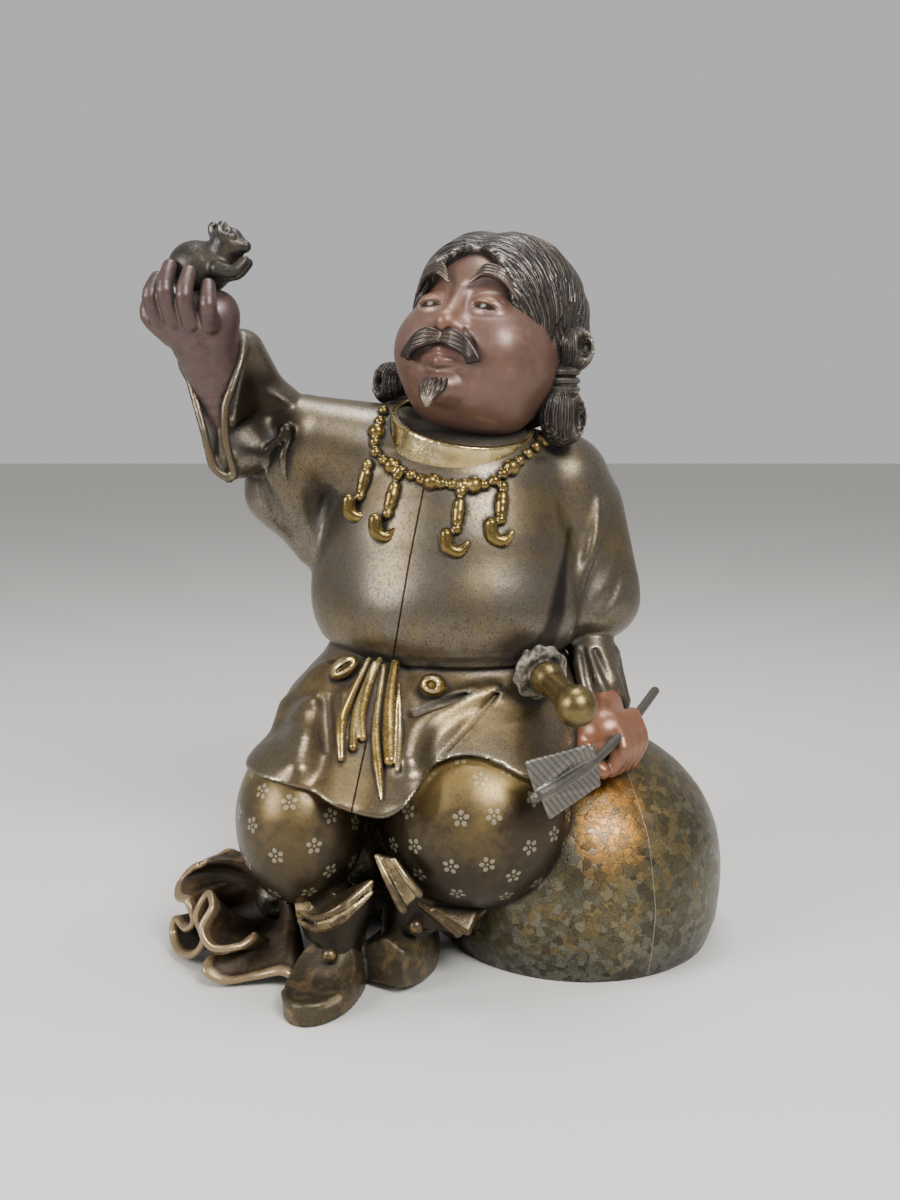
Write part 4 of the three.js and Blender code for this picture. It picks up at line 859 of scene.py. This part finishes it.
def exposure(piece):
    points = np.zeros(len(piece.data.vertices) * 3)
    piece.data.vertices.foreach_get("co", points)
    points = points.reshape(-1, 3) * 1000 - zeroAt
    normals = normalsOf(piece)
    hollow = sum(share * np.clip(1 - wholeForm(points + normals * out) / out, 0, 1)
                 for out, share in wearMake["hollow"])
    proud = sum(share * np.clip(1 + wholeForm(points - normals * back) / back, 0, 1)
                for back, share in wearMake["proud"])
    keep(piece, "hollow", hollow)
    keep(piece, "proud", proud)
    return points


at = {name: exposure(piece) for name, piece in made.items() if name != "sack_mouth"}
keep(made["sack_mouth"], "hollow", mouthHollow)
keep(made["sack_mouth"], "proud", mouthProud)
print("hollows and edges measured")


# Shader maths: arithmetic on a Value adds Math nodes
class Value:
    def __init__(self, finish, socket):
        self.finish, self.socket = finish, socket

    def __add__(self, other):
        return self.finish.maths("ADD", self, other)

    def __sub__(self, other):
        return self.finish.maths("SUBTRACT", self, other)

    def __rsub__(self, other):
        return self.finish.maths("SUBTRACT", other, self)

    def __mul__(self, other):
        return self.finish.maths("MULTIPLY", self, other)

    def __truediv__(self, other):
        return self.finish.maths("DIVIDE", self, other)

    def __abs__(self):
        return self.finish.maths("ABSOLUTE", self)

    __radd__ = __add__
    __rmul__ = __mul__


def rgb(text):
    # "6b5c49" as the linear colour that Blender works in
    parts = [int(text[i:i + 2], 16) / 255 for i in (0, 2, 4)]
    return [p / 12.92 if p <= 0.04045 else ((p + 0.055) / 1.055) ** 2.4 for p in parts] + [1.0]


class Finish:
    # a material while it is being made
    def __init__(self, name):
        self.material = bpy.data.materials.new(name)
        self.material.use_nodes = True
        self.tree = self.material.node_tree
        self.shader = self.tree.nodes["Principled BSDF"]
        self.place = self.node("ShaderNodeTexCoord", out="Object")

    def fill(self, node, values):
        for key, value in values.items():
            if isinstance(value, Value):
                self.tree.links.new(value.socket, node.inputs[key])
            elif isinstance(value, str):
                node.inputs[key].default_value = rgb(value)
            else:
                node.inputs[key].default_value = value

    def node(self, kind, settings=None, values=None, out=0):
        # out is one output of the node, or several in a tuple
        node = self.tree.nodes.new(kind)
        for key, value in (settings or {}).items():
            setattr(node, key, value)
        self.fill(node, values or {})
        if isinstance(out, tuple):
            return [Value(self, node.outputs[key]) for key in out]
        return Value(self, node.outputs[out])

    def maths(self, operation, a, b=0.0):
        return self.node("ShaderNodeMath", {"operation": operation}, {0: a, 1: b})

    def kept(self, name, out="Fac"):
        return self.node("ShaderNodeAttribute", {"attribute_name": name}, out=out)

    def noise(self, size, detail=3.0, rough=0.55, bend=0.0):
        # size is that of one lump, in mm
        return self.node("ShaderNodeTexNoise", None, {
            "Vector": self.place, "Scale": 1000 / size, "Detail": detail, "Roughness": rough,
            "Distortion": bend})

    def step(self, value, low, high):
        return self.node("ShaderNodeMapRange", {"interpolation_type": "SMOOTHSTEP"},
                         {"Value": value, "From Min": low, "From Max": high})

    def blend(self, factor, a, b):
        return self.node("ShaderNodeMix", {"data_type": "RGBA"}, {0: factor, 6: a, 7: b}, 2)

    def paint(self, factor, colour):
        self.tone = self.blend(factor, self.tone, colour)

    def cutLine(self, name, width):
        # 1 along a thin cut line, from a kept distance in mm
        return 1 - self.step(abs(self.kept(name)), width * 0.45, width)

    def relief(self, height):
        # height in mm
        return self.node("ShaderNodeBump", None, {"Height": height, "Distance": 0.001, "Strength": 1.0})


# What every finish has unless its own look says otherwise. Colours are as seen, and sizes are in mm
castLook = {"cloudSize": 26, "patchSize": 4, "speckleSize": 0.45, "glow": 0.5, "speckle": 0.35,
            "wear": 0.8, "wearFrom": 0.12, "wearTo": 0.5, "dirt": 0.92, "dirtFrom": 0.3, "dirtTo": 0.9,
            "grain": 0.06, "lumps": 0.1, "coat": 0.0, "coatRough": 0.25}


# A patinated finish: deep tone in the hollows, mid tone on the faces, and worn metal on what stands proud
def patina(name, ownLook):
    f, look = Finish(name), castLook | ownLook
    f.look, f.tone = look, look["mid"]
    hollow, proud = f.kept("hollow"), f.kept("proud")
    cloudy = f.noise(look["cloudSize"], 3, 0.55, 0.3)
    patchy = f.noise(look["patchSize"], 4, 0.6)
    speckle = f.noise(look["speckleSize"], 2, 0.75)
    grain = f.noise(look["speckleSize"] * 2.6, 3, 0.7)
    f.paint(f.step(cloudy, 0.3, 0.7), look["other"])
    f.paint(f.step(cloudy * 0.5 + patchy * 0.3 + grain * 0.2, 0.46, 0.62) * look["glow"], look["light"])
    f.paint(f.step(speckle * 0.55 + grain * 0.45, 0.5, 0.62) * look["speckle"], look["deep"])
    rubbed = f.step(proud + (patchy - 0.5) * 0.4 + (speckle - 0.5) * 0.3, look["wearFrom"], look["wearTo"])
    f.paint(rubbed * look["wear"], look["bright"])
    dirty = f.step(hollow + (patchy - 0.5) * 0.3 + (grain - 0.5) * 0.25, look["dirtFrom"], look["dirtTo"])
    f.paint(dirty * look["dirt"], look["deep"])
    f.dirty, f.patchy, f.speckle, f.cloudy, f.grain = dirty, patchy, speckle, cloudy, grain
    f.rough = look["rough"] + (cloudy - 0.5) * 0.3 + (grain - 0.5) * 0.4 - rubbed * 0.08 + dirty * 0.3
    f.metal = look["metal"] * (1 - dirty * 0.75)
    f.height = (speckle * 0.5 + grain * 0.5) * look["grain"] + patchy * look["lumps"]
    return f


def finished(f):
    f.fill(f.shader, {
        "Base Color": f.tone, "Roughness": f.rough, "Metallic": f.metal, "Normal": f.relief(f.height),
        "Coat Roughness": f.look["coatRough"], "Coat Weight": f.look["coat"], "IOR": 1.5})
    return f.material


# Places on a piece that its finish asks for, each worked out from the points of its mesh
def spots(p, *placed):
    # soft round patches, each a middle and a radius
    return sum(np.exp(-((p - middle) ** 2).sum(1) / radius ** 2) for middle, radius in placed)


def fromMiddle(p, middle, radii):
    return (((p - middle) / radii) ** 2).sum(1)


def keepSeam(name, look, there):
    # how far each point is from the seam, in mm, and 9 where there is no seam
    p = at[name]
    seamAt = np.interp(p[:, 2], look["seamHeights"], look["seamPlaces"])
    keep(made[name], "seam", np.where(there, p[:, 0] - seamAt, 9))


# Skin: warmer on nose and lips, and painted shade on the eyeballs in the narrow eye openings
skinLook = {
    "mid": "654a3e", "other": "533c35", "light": "886552", "bright": "b09284", "deep": "1a100e",
    "metal": 0.4, "rough": 0.42, "speckle": 0.12, "glow": 0.35, "wear": 0.35, "wearFrom": 0.25,
    "wearTo": 0.7, "dirt": 0.85, "grain": 0.02, "lumps": 0.05, "coat": 0.12, "lips": "6e4640",
    "nose": "94684a", "eye": "120c0a"}
handLook = skinLook | {"mid": "4b3936", "other": "3e302e", "light": "6c5146", "bright": "a08a7e"}
fistLook = skinLook | {
    "mid": "80533a", "other": "69442f", "light": "9d6c4c", "bright": "c49c80", "rough": 0.34,
    "coat": 0.25}
inHead = (at["face"] - headPlace[0]) @ headPlace[1] / headSqueeze
keep(made["face"], "nose", spots(inHead, ((0, -40, -7), 8), ((14, -38, 7), 5), ((-14, -38, 7), 5)))
keep(made["face"], "lips", np.exp(-fromMiddle(inHead, (0, -38, -23), (9, 6, 4.6)) ** 2))
eyeForm = melt(0, *bothSides(lambda s: egg([s * 14, -31.6, 2.4], [7.75, 5.75, 4.95])))
# painted shade: where the eyeballs show through the narrow openings
keep(made["face"], "eye", eased(-eyeForm(inHead), -0.1, 0.12))


def skinFinish():
    f = patina("skin", skinLook)
    f.paint(f.kept("nose") * 0.5, skinLook["nose"])
    f.paint(f.kept("lips") * 0.6, skinLook["lips"])
    # painted shade: the eyeballs painted near black
    f.paint(f.kept("eye") * 0.9, skinLook["eye"])
    f.rough = f.rough - f.kept("eye") * 0.2
    return finished(f)


# Hair: fine strands along each lock, and around each side knot
hairLook = {
    "mid": "3a3432", "other": "2c2828", "light": "5e5240", "bright": "a39a8a", "deep": "0c0a0a",
    "metal": 0.72, "rough": 0.36, "speckle": 0.2, "glow": 0.4, "wear": 0.6, "wearFrom": 0.2,
    "wearTo": 0.6, "grain": 0.02, "strandSize": 110, "strandDepth": 0.16, "streak": "a0968a",
    "knotReach": 15, "knotsMeet": 15, "knots": ((49, -17, 246.5), (-21, 8, 232.5))}
whiskerLook = hairLook | {
    "mid": "3a2e29", "light": "4c3c31", "bright": "948470", "wearFrom": 0.45, "wearTo": 1.0}
p = at["hair"]
# beyond x = knotsMeet a point is nearer the first knot
around = p - np.where(p[:, :1] > hairLook["knotsMeet"], *hairLook["knots"])
inKnot = np.sqrt((around ** 2 * (1, 1, 0.25)).sum(1)) < hairLook["knotReach"]
keep(made["hair"], "strand", np.where(inKnot, 0.5 * np.arctan2(around[:, 1], around[:, 0]),
                                      combAngle((p - headPlace[0]) @ headPlace[1])))


def hairFinish():
    f = patina("hair", hairLook)
    wander = f.noise(6, 2) * 0.06
    fine = f.maths("SINE", (f.kept("strand") + wander) * hairLook["strandSize"])
    finer = f.maths("SINE", (f.kept("strand") - wander * 0.7) * (hairLook["strandSize"] * 2.7))
    strandly = fine * 0.6 + finer * 0.4
    f.paint(f.step(strandly + (f.patchy - 0.5) * 1.5, 0.25, 0.9) * (1 - f.dirty) * 0.4, hairLook["streak"])
    f.paint(f.step(strandly, -0.2, -0.8) * 0.5, hairLook["deep"])
    f.height = f.height + strandly * hairLook["strandDepth"]
    return finished(f)


# Cloth of the tunic and skirt: a cut seam down the front, painted shade with some dark patina in the tunic's
# deepest folds, and a painted shadow line along the skirt's hem
tunicLook = {
    "mid": "6d665b", "other": "584d3c", "light": "7e6e50", "bright": "c2b597", "deep": "191511",
    "metal": 0.86, "rough": 0.35, "speckle": 0.7, "glow": 0.5, "wear": 0.3, "wearFrom": 0.3,
    "wearTo": 0.8, "cloudSize": 34, "patchSize": 8, "dirtFrom": 0.16, "dirtTo": 0.7, "cut": "0c0907",
    "seamWidth": 0.42, "seamDepth": 0.5, "seamHeights": (128, 172, 210),
    "seamPlaces": (-24.0, -16.5, -8.9)}
p = at["tunic"]
keepSeam("tunic", tunicLook, (p[:, 1] < 0) & (p[:, 2] < 203))
# painted shade with some dark patina, kept as the shade mask: under the raised cuff, inside the collar, and
# down the crease from the armpit
armpitShade = strand([[51, -22, 183], [47.5, -31, 169], [44.5, -39, 155], [38.5, -41, 137]], [0.1, 1.2, 3, 4.5])
foldShadeSpots = spots(p, ((-78, -26, 237), 14), ((-72, -24, 222), 11), ((-84, -24, 222), 8), ((4.5, -8, 225), 22))
keep(made["tunic"], "shade", np.clip(foldShadeSpots + 0.85 * eased(-armpitShade(p), -5.5, 2.5), 0, 1))


def seamed(f):
    seam = f.cutLine("seam", f.look["seamWidth"])
    f.paint(seam * 0.9, f.look["cut"])
    f.height = f.height - seam * f.look["seamDepth"]
    return f


def tunicFinish():
    f = seamed(patina("tunic_bronze", tunicLook))
    # painted shade: the deep tone laid where the shade mask is
    f.paint(f.step(f.kept("shade") + (f.patchy - 0.5) * 0.5, 0.15, 0.75) * 0.85, tunicLook["deep"])
    return finished(f)


# the hem colour is that of the painted shadow line along the hem
skirtLook = tunicLook | {
    "mid": "6c6150", "other": "54462f", "light": "8c7750", "bright": "cbbfa4", "rough": 0.33,
    "hem": "100c09", "seamWidth": 0.4, "seamHeights": (82, 106), "seamPlaces": (-37.5, -32.5)}
p = at["skirt"]
keepSeam("skirt", skirtLook, (p[:, 1] < -40) & (p[:, 2] < 106))
# height over the hem, which places the painted shadow line
keep(made["skirt"], "hem", overHem(p))


def skirtFinish():
    f = seamed(patina("skirt_bronze", skirtLook))
    # painted shadow: a dark line along the hem's edge, where the skirt overhangs the trousers
    f.paint((1 - f.step(abs(f.kept("hem") - 0.2), 0.35, 0.9)) * 0.6, skirtLook["hem"])
    return finished(f)


# Trousers: five-dot blossoms, spread over the cloth at an even spacing, with painted light on the upper legs
# and painted shade towards the bottom
trouserLook = {
    "mid": "473a2a", "other": "3a3629", "light": "705c3a", "bright": "b0945e", "deep": "0f0b08",
    "metal": 0.78, "rough": 0.36, "speckle": 0.3, "glow": 0.5, "wear": 0.45, "coat": 0.1, "cloudSize": 45,
    "lumps": 0.03, "top": "a08448", "shadeBelow": "1c1813", "blossom": "948d76", "spacing": 12.2,
    "petalAt": 2.3, "petal": (1.1, 0.95), "middle": 0.6, "placeSeed": 7, "turnSeed": 3, "tries": 9000}


def spreadOver(points, spacing, seed):
    order = np.random.default_rng(seed).permutation(len(points))
    chosen = []
    for i in order[:trouserLook["tries"]]:
        if not chosen or (np.sqrt(((points[chosen] - points[i]) ** 2).sum(1)) > spacing).all():
            chosen.append(i)
    return chosen


p, normals = at["trousers"], normalsOf(made["trousers"])
onLeg = np.argwhere((p[:, 2] > 40) & (p[:, 2] < 112))[:, 0]
chosen = onLeg[spreadOver(p[onLeg], trouserLook["spacing"], trouserLook["placeSeed"])]
apart = ((p[:, None, :] - p[chosen][None]) ** 2).sum(2)
nearest = chosen[apart.argmin(1)]
side = normalised(np.cross(normals[nearest], (0.0, 0.0, 1.0)) + (1e-6, 0, 0))
up = np.cross(side, normals[nearest])
turn = np.random.default_rng(trouserLook["turnSeed"]).uniform(0, 6.28, len(p))[nearest]
a, b = ((p - p[nearest]) * side).sum(1), ((p - p[nearest]) * up).sum(1)
keep(made["trousers"], "blossom", np.stack([
    a * np.cos(turn) + b * np.sin(turn), b * np.cos(turn) - a * np.sin(turn), np.sqrt(apart.min(1))], 1))
# height up the legs, which places the painted light and shade
keep(made["trousers"], "high", np.clip((p[:, 2] - 35) / 62, 0, 1))


def trouserFinish():
    f, petal = patina("trouser_bronze", trouserLook), trouserLook["petal"]
    x, y, away = f.node("ShaderNodeSeparateXYZ", None, {"Vector": f.kept("blossom", "Vector")}, (0, 1, 2))
    reach = f.maths("SQRT", x * x + y * y)
    wholeTurn, fifth = 6.2832, 1.25664
    turn = f.maths("ARCTAN2", y, x) + wholeTurn
    folded = f.maths("MODULO", turn, fifth) - fifth / 2  # so that one petal makes five
    along = (reach * f.maths("COSINE", folded) - trouserLook["petalAt"]) / petal[0]
    across = reach * f.maths("SINE", folded) / petal[1]
    ragged = (f.speckle - 0.5) * 0.9
    dot = 1 - f.step(along * along + across * across + ragged, 0.75, 1.15)
    middle = 1 - f.step(reach + ragged * 0.3, trouserLook["middle"] * 0.8, trouserLook["middle"] * 1.1)
    flower = f.maths("MAXIMUM", dot, middle) * (1 - f.step(away, 3.9, 4.4))
    # painted light: gold over the upper legs
    f.paint(f.step(f.kept("high") + (f.cloudy - 0.5) * 0.8, 0.6, 1.05) * 0.5, trouserLook["top"])
    # painted shade: near black towards the bottom of the legs
    low = 1 - f.step(f.kept("high") + (f.cloudy - 0.5) * 0.4, 0.05, 0.75)
    f.paint(low * 0.78, trouserLook["shadeBelow"])
    f.paint(flower * 0.6 * (1 - f.dirty * 0.8), trouserLook["blossom"])
    f.height = f.height + flower * 0.08
    f.metal = f.metal * (1 - flower * 0.4)
    return finished(f)


# Sack: flakes of gold, orange and grey-green over dark bronze, brightest where it is high, with painted shade
# towards the bottom and a seam painted light
sackLook = {
    "mid": "544a33", "other": "4b4b3b", "light": "7f6b40", "bright": "b09a68", "deep": "1a1711",
    "metal": 0.76, "rough": 0.38, "speckle": 0.45, "glow": 0.4, "wear": 0.4, "cloudSize": 48,
    "patchSize": 7, "coat": 0.1, "flake": 3.4, "tearScale": 350, "tear": 0.005, "crack": 0.05,
    "orange": "a57026", "grey": "707468", "low": "25221c", "seam": "a39a83", "seamWidth": 0.27,
    "seamHeights": (0, 30, 60, 92), "seamPlaces": (82, 84, 81, 72)}
p = at["sack"]
keepSeam("sack", sackLook, (p[:, 0] > 20) & (p[:, 1] < 40))
keep(made["sack"], "high", np.clip(p[:, 2] / 90, 0, 1))
keep(made["sack"], "ember", np.exp(-fromMiddle(p, (66, -50, 66), (15, 26, 20))))


def sackFinish():
    f = patina("sack_bronze", sackLook)
    torn = f.node("ShaderNodeTexNoise", None,
                  {"Vector": f.place, "Scale": sackLook["tearScale"], "Detail": 4}, 1)
    moved = f.node("ShaderNodeVectorMath", {"operation": "SCALE"}, {0: torn, "Scale": sackLook["tear"]})
    cells = {"Vector": f.node("ShaderNodeVectorMath", {"operation": "ADD"}, {0: f.place, 1: moved}),
             "Scale": 1000 / sackLook["flake"]}
    picked = f.node("ShaderNodeTexVoronoi", None, cells, 1)
    red, green, blue = f.node("ShaderNodeSeparateColor", None, {"Color": picked}, (0, 1, 2))
    apart = f.node("ShaderNodeTexVoronoi", {"feature": "DISTANCE_TO_EDGE"}, cells)
    crack = 1 - f.step(apart, sackLook["crack"] * 0.3, sackLook["crack"] * 1.6)
    high = f.kept("high")
    # painted shade: darker towards the bottom, where the sack meets the floor
    f.paint((1 - f.step(high + (f.cloudy - 0.5) * 0.5, 0.0, 0.6)) * 0.72, sackLook["low"])
    gold = f.step(red + (f.cloudy - 0.5) * 1.6 + (high - 0.45) * 0.9, 0.5, 1.0)
    f.paint(gold * 0.5, sackLook["light"])
    warm = f.step(f.noise(34, 3, 0.6, 0.3) * 0.5 + (high - 0.7) * 0.2 + f.kept("ember") * 0.9, 0.3, 0.85)
    f.paint(warm * (0.45 + gold * 0.4), sackLook["orange"])
    cold = f.step(green - (f.cloudy - 0.5) * 1.4 - (high - 0.5) * 0.8, 0.5, 0.9)
    f.paint(cold * 0.4, sackLook["grey"])
    f.paint(f.step(blue, 0.65, 0.95) * 0.42, sackLook["deep"])
    f.paint(crack * f.step(f.patchy, 0.35, 0.6) * 0.5, sackLook["deep"])
    f.paint(f.step(f.speckle * 0.55 + f.grain * 0.45, 0.5, 0.6) * 0.45, sackLook["deep"])
    f.paint(f.dirty * 0.9, sackLook["deep"])
    # painted highlight: the seam line is painted light
    seam = f.cutLine("seam", sackLook["seamWidth"])
    f.paint(seam * 0.5, sackLook["seam"])
    f.rough = f.rough + (red - 0.5) * 0.16
    f.height = f.height + red * 0.04 - crack * 0.03 - seam * 0.15
    return finished(f)


# Hilt: worn gold, with a rough grey guard
hiltLook = {
    "mid": "74643f", "other": "54472f", "light": "9a8754", "bright": "d8c690", "deep": "140f09",
    "metal": 0.88, "rough": 0.32, "speckle": 0.3, "cloudSize": 12, "wearFrom": 0.25, "wearTo": 0.8,
    "guard": "857c6d", "guardDark": "3f3930"}
inHilt = (at["sword_hilt"] - hiltPlace[0]) @ turnOf(hiltPlace[1])
keep(made["sword_hilt"], "guard", 1 - eased(np.abs(inHilt[:, 2]), 3.4, 4.4))


def hiltFinish():
    f = patina("hilt_gold", hiltLook)
    stone = f.step(f.kept("guard"), 0.4, 0.6)
    f.paint(stone, f.blend(f.step(f.patchy, 0.4, 0.62), hiltLook["guardDark"], hiltLook["guard"]))
    f.paint(f.dirty * 0.9, hiltLook["deep"])
    f.metal = f.metal * (1 - stone * 0.6)
    f.rough = f.rough + stone * 0.25
    f.height = f.height + stone * (f.patchy * 0.9)
    return finished(f)


# Arrow: grey, with barbs across its vanes
arrowLook = {
    "mid": "5a564f", "other": "494640", "light": "69645b", "bright": "99948a", "deep": "1f1c19",
    "metal": 0.7, "rough": 0.42, "speckle": 0.5, "wear": 0.35, "cloudSize": 10, "barb": 1.1}
keep(made["arrow"], "vane", eased(strand(arrowLine, [2])(at["arrow"]), 0.2, 0.9))


def arrowFinish():
    f = patina("arrow_grey", arrowLook)
    barbs = f.node("ShaderNodeTexWave", {"wave_type": "BANDS", "bands_direction": "DIAGONAL"},
                   {"Vector": f.place, "Scale": 1000 / arrowLook["barb"] / 6, "Distortion": 0.4}, "Fac")
    f.height = f.height + f.step(barbs, 0.2, 0.6) * f.kept("vane") * 0.1
    f.paint((1 - f.step(barbs, 0.1, 0.4)) * f.kept("vane") * 0.4, arrowLook["deep"])
    return finished(f)


# Plain castings: the sack's mouth, the gold of sash, collar and beads, the shoes and ties, and the mouse
mouthLook = {
    "mid": "43372a", "other": "332d26", "light": "765c3a", "bright": "ab9370", "deep": "0f0c08",
    "metal": 0.74, "rough": 0.4, "glow": 0.5, "wear": 0.7, "wearFrom": 0.2, "wearTo": 0.8,
    "cloudSize": 14, "dirtFrom": 0.2, "dirtTo": 0.95}
goldLook = {
    "mid": "9a804a", "other": "7a623a", "light": "bfa361", "bright": "e8d8a8", "deep": "150f09",
    "metal": 0.94, "rough": 0.26, "speckle": 0.1, "glow": 0.7, "wear": 0.6, "wearFrom": 0.2,
    "wearTo": 0.7, "cloudSize": 14, "patchSize": 5, "dirtFrom": 0.34, "dirtTo": 0.75, "lumps": 0.15}
collarLook = goldLook | {"mid": "bba671", "other": "9f8a5a", "light": "d8c99c", "rough": 0.2}
beadLook = goldLook | {"mid": "7a673a", "other": "5c4c2f", "light": "a58d55", "dirtFrom": 0.25, "dirtTo": 0.6}
shoeLook = {
    "mid": "4c4232", "other": "36332c", "light": "7d6844", "bright": "b8a47c", "deep": "0f0c09",
    "metal": 0.65, "rough": 0.42, "speckle": 0.6, "glow": 0.8, "wear": 0.6, "wearFrom": 0.2,
    "wearTo": 0.6, "cloudSize": 12}
tieLook = shoeLook | {"mid": "5a4c38", "light": "8f774c", "bright": "cdb88a", "rough": 0.34, "metal": 0.8}
mouseLook = {
    "mid": "3a3631", "other": "2c2927", "light": "5e5040", "bright": "a09a8e", "deep": "0e0c0b",
    "metal": 0.65, "rough": 0.4, "speckle": 0.5, "wear": 0.6, "wearFrom": 0.2, "wearTo": 0.7,
    "cloudSize": 9, "lumps": 0.45}
plainLooks = {
    "raised_hand": ("hand_skin", handLook), "resting_hand": ("fist_skin", fistLook),
    "whiskers": ("whisker_brown", whiskerLook), "sack_mouth": ("mouth_bronze", mouthLook),
    "sash": ("sash_gold", goldLook), "collar": ("collar_gold", collarLook),
    "necklace": ("bead_gold", beadLook), "shoes": ("shoe_bronze", shoeLook),
    "knee_ties": ("tie_gold", tieLook), "mouse": ("mouse_brown", mouseLook)}

looks = {
    "face": skinFinish(), "hair": hairFinish(), "tunic": tunicFinish(), "skirt": skirtFinish(),
    "trousers": trouserFinish(), "sack": sackFinish(), "sword_hilt": hiltFinish(), "arrow": arrowFinish()}
looks["scabbard"] = looks["tunic"]
for name, (title, look) in plainLooks.items():
    looks[name] = finished(patina(title, look))
for name, piece in made.items():
    piece.data.materials.append(looks[name])
print("finishes made")


# Room: a plain pale floor, plain soft light, and the photograph's viewing angle
room = {
    "floor": "c9c6c1", "floorRough": 0.7, "floorHalf": 4, "sky": "dcdcdc", "skyStrength": 0.75,
    "lights": {  # where it hangs and how wide it is in m, and its watts
        "key": ((0.4, -0.75, 0.9), 0.45, 17), "side": ((-0.8, -0.5, 0.55), 0.5, 10),
        "top": ((0.05, 0.1, 1.1), 0.5, 8)},
    "lightsAimAt": (0, 0, 0.15), "cameraAt": (0.0018, -0.5494, 0.239), "cameraTilt": 81, "sensorHeight": 36,
    "lens": 39, "nearest": 0.01}


def inRoom(name, data):
    thing = bpy.data.objects.new(name, data)
    bpy.context.scene.collection.objects.link(thing)
    return thing


floor = inRoom("floor", bpy.data.meshes.new("floor"))
half = room["floorHalf"]
corners = [(-half, -half, 0), (half, -half, 0), (half, half, 0), (-half, half, 0)]
floor.data.from_pydata(corners, [], [(0, 1, 2, 3)])
pale = bpy.data.materials.new("pale_floor")
pale.use_nodes = True
pale.node_tree.nodes["Principled BSDF"].inputs["Base Color"].default_value = rgb(room["floor"])
pale.node_tree.nodes["Principled BSDF"].inputs["Roughness"].default_value = room["floorRough"]
floor.data.materials.append(pale)

for name, (place, size, watts) in room["lights"].items():
    lamp = inRoom(name, bpy.data.lights.new(name, "AREA"))
    lamp.data.shape, lamp.data.size, lamp.data.energy = "DISK", size, watts
    lamp.location = place
    lamp.rotation_euler = (Vector(place) - Vector(room["lightsAimAt"])).to_track_quat("Z", "Y").to_euler()
world = bpy.data.worlds.new("room")
world.use_nodes = True
world.node_tree.nodes["Background"].inputs["Color"].default_value = rgb(room["sky"])
world.node_tree.nodes["Background"].inputs["Strength"].default_value = room["skyStrength"]
bpy.context.scene.world = world

camera = inRoom("camera", bpy.data.cameras.new("camera"))
camera.location = room["cameraAt"]
camera.rotation_euler = (math.radians(room["cameraTilt"]), 0, 0)
camera.data.sensor_fit, camera.data.sensor_height = "VERTICAL", room["sensorHeight"]
camera.data.lens, camera.data.clip_start = room["lens"], room["nearest"]
bpy.context.scene.camera = camera
print("room ready")
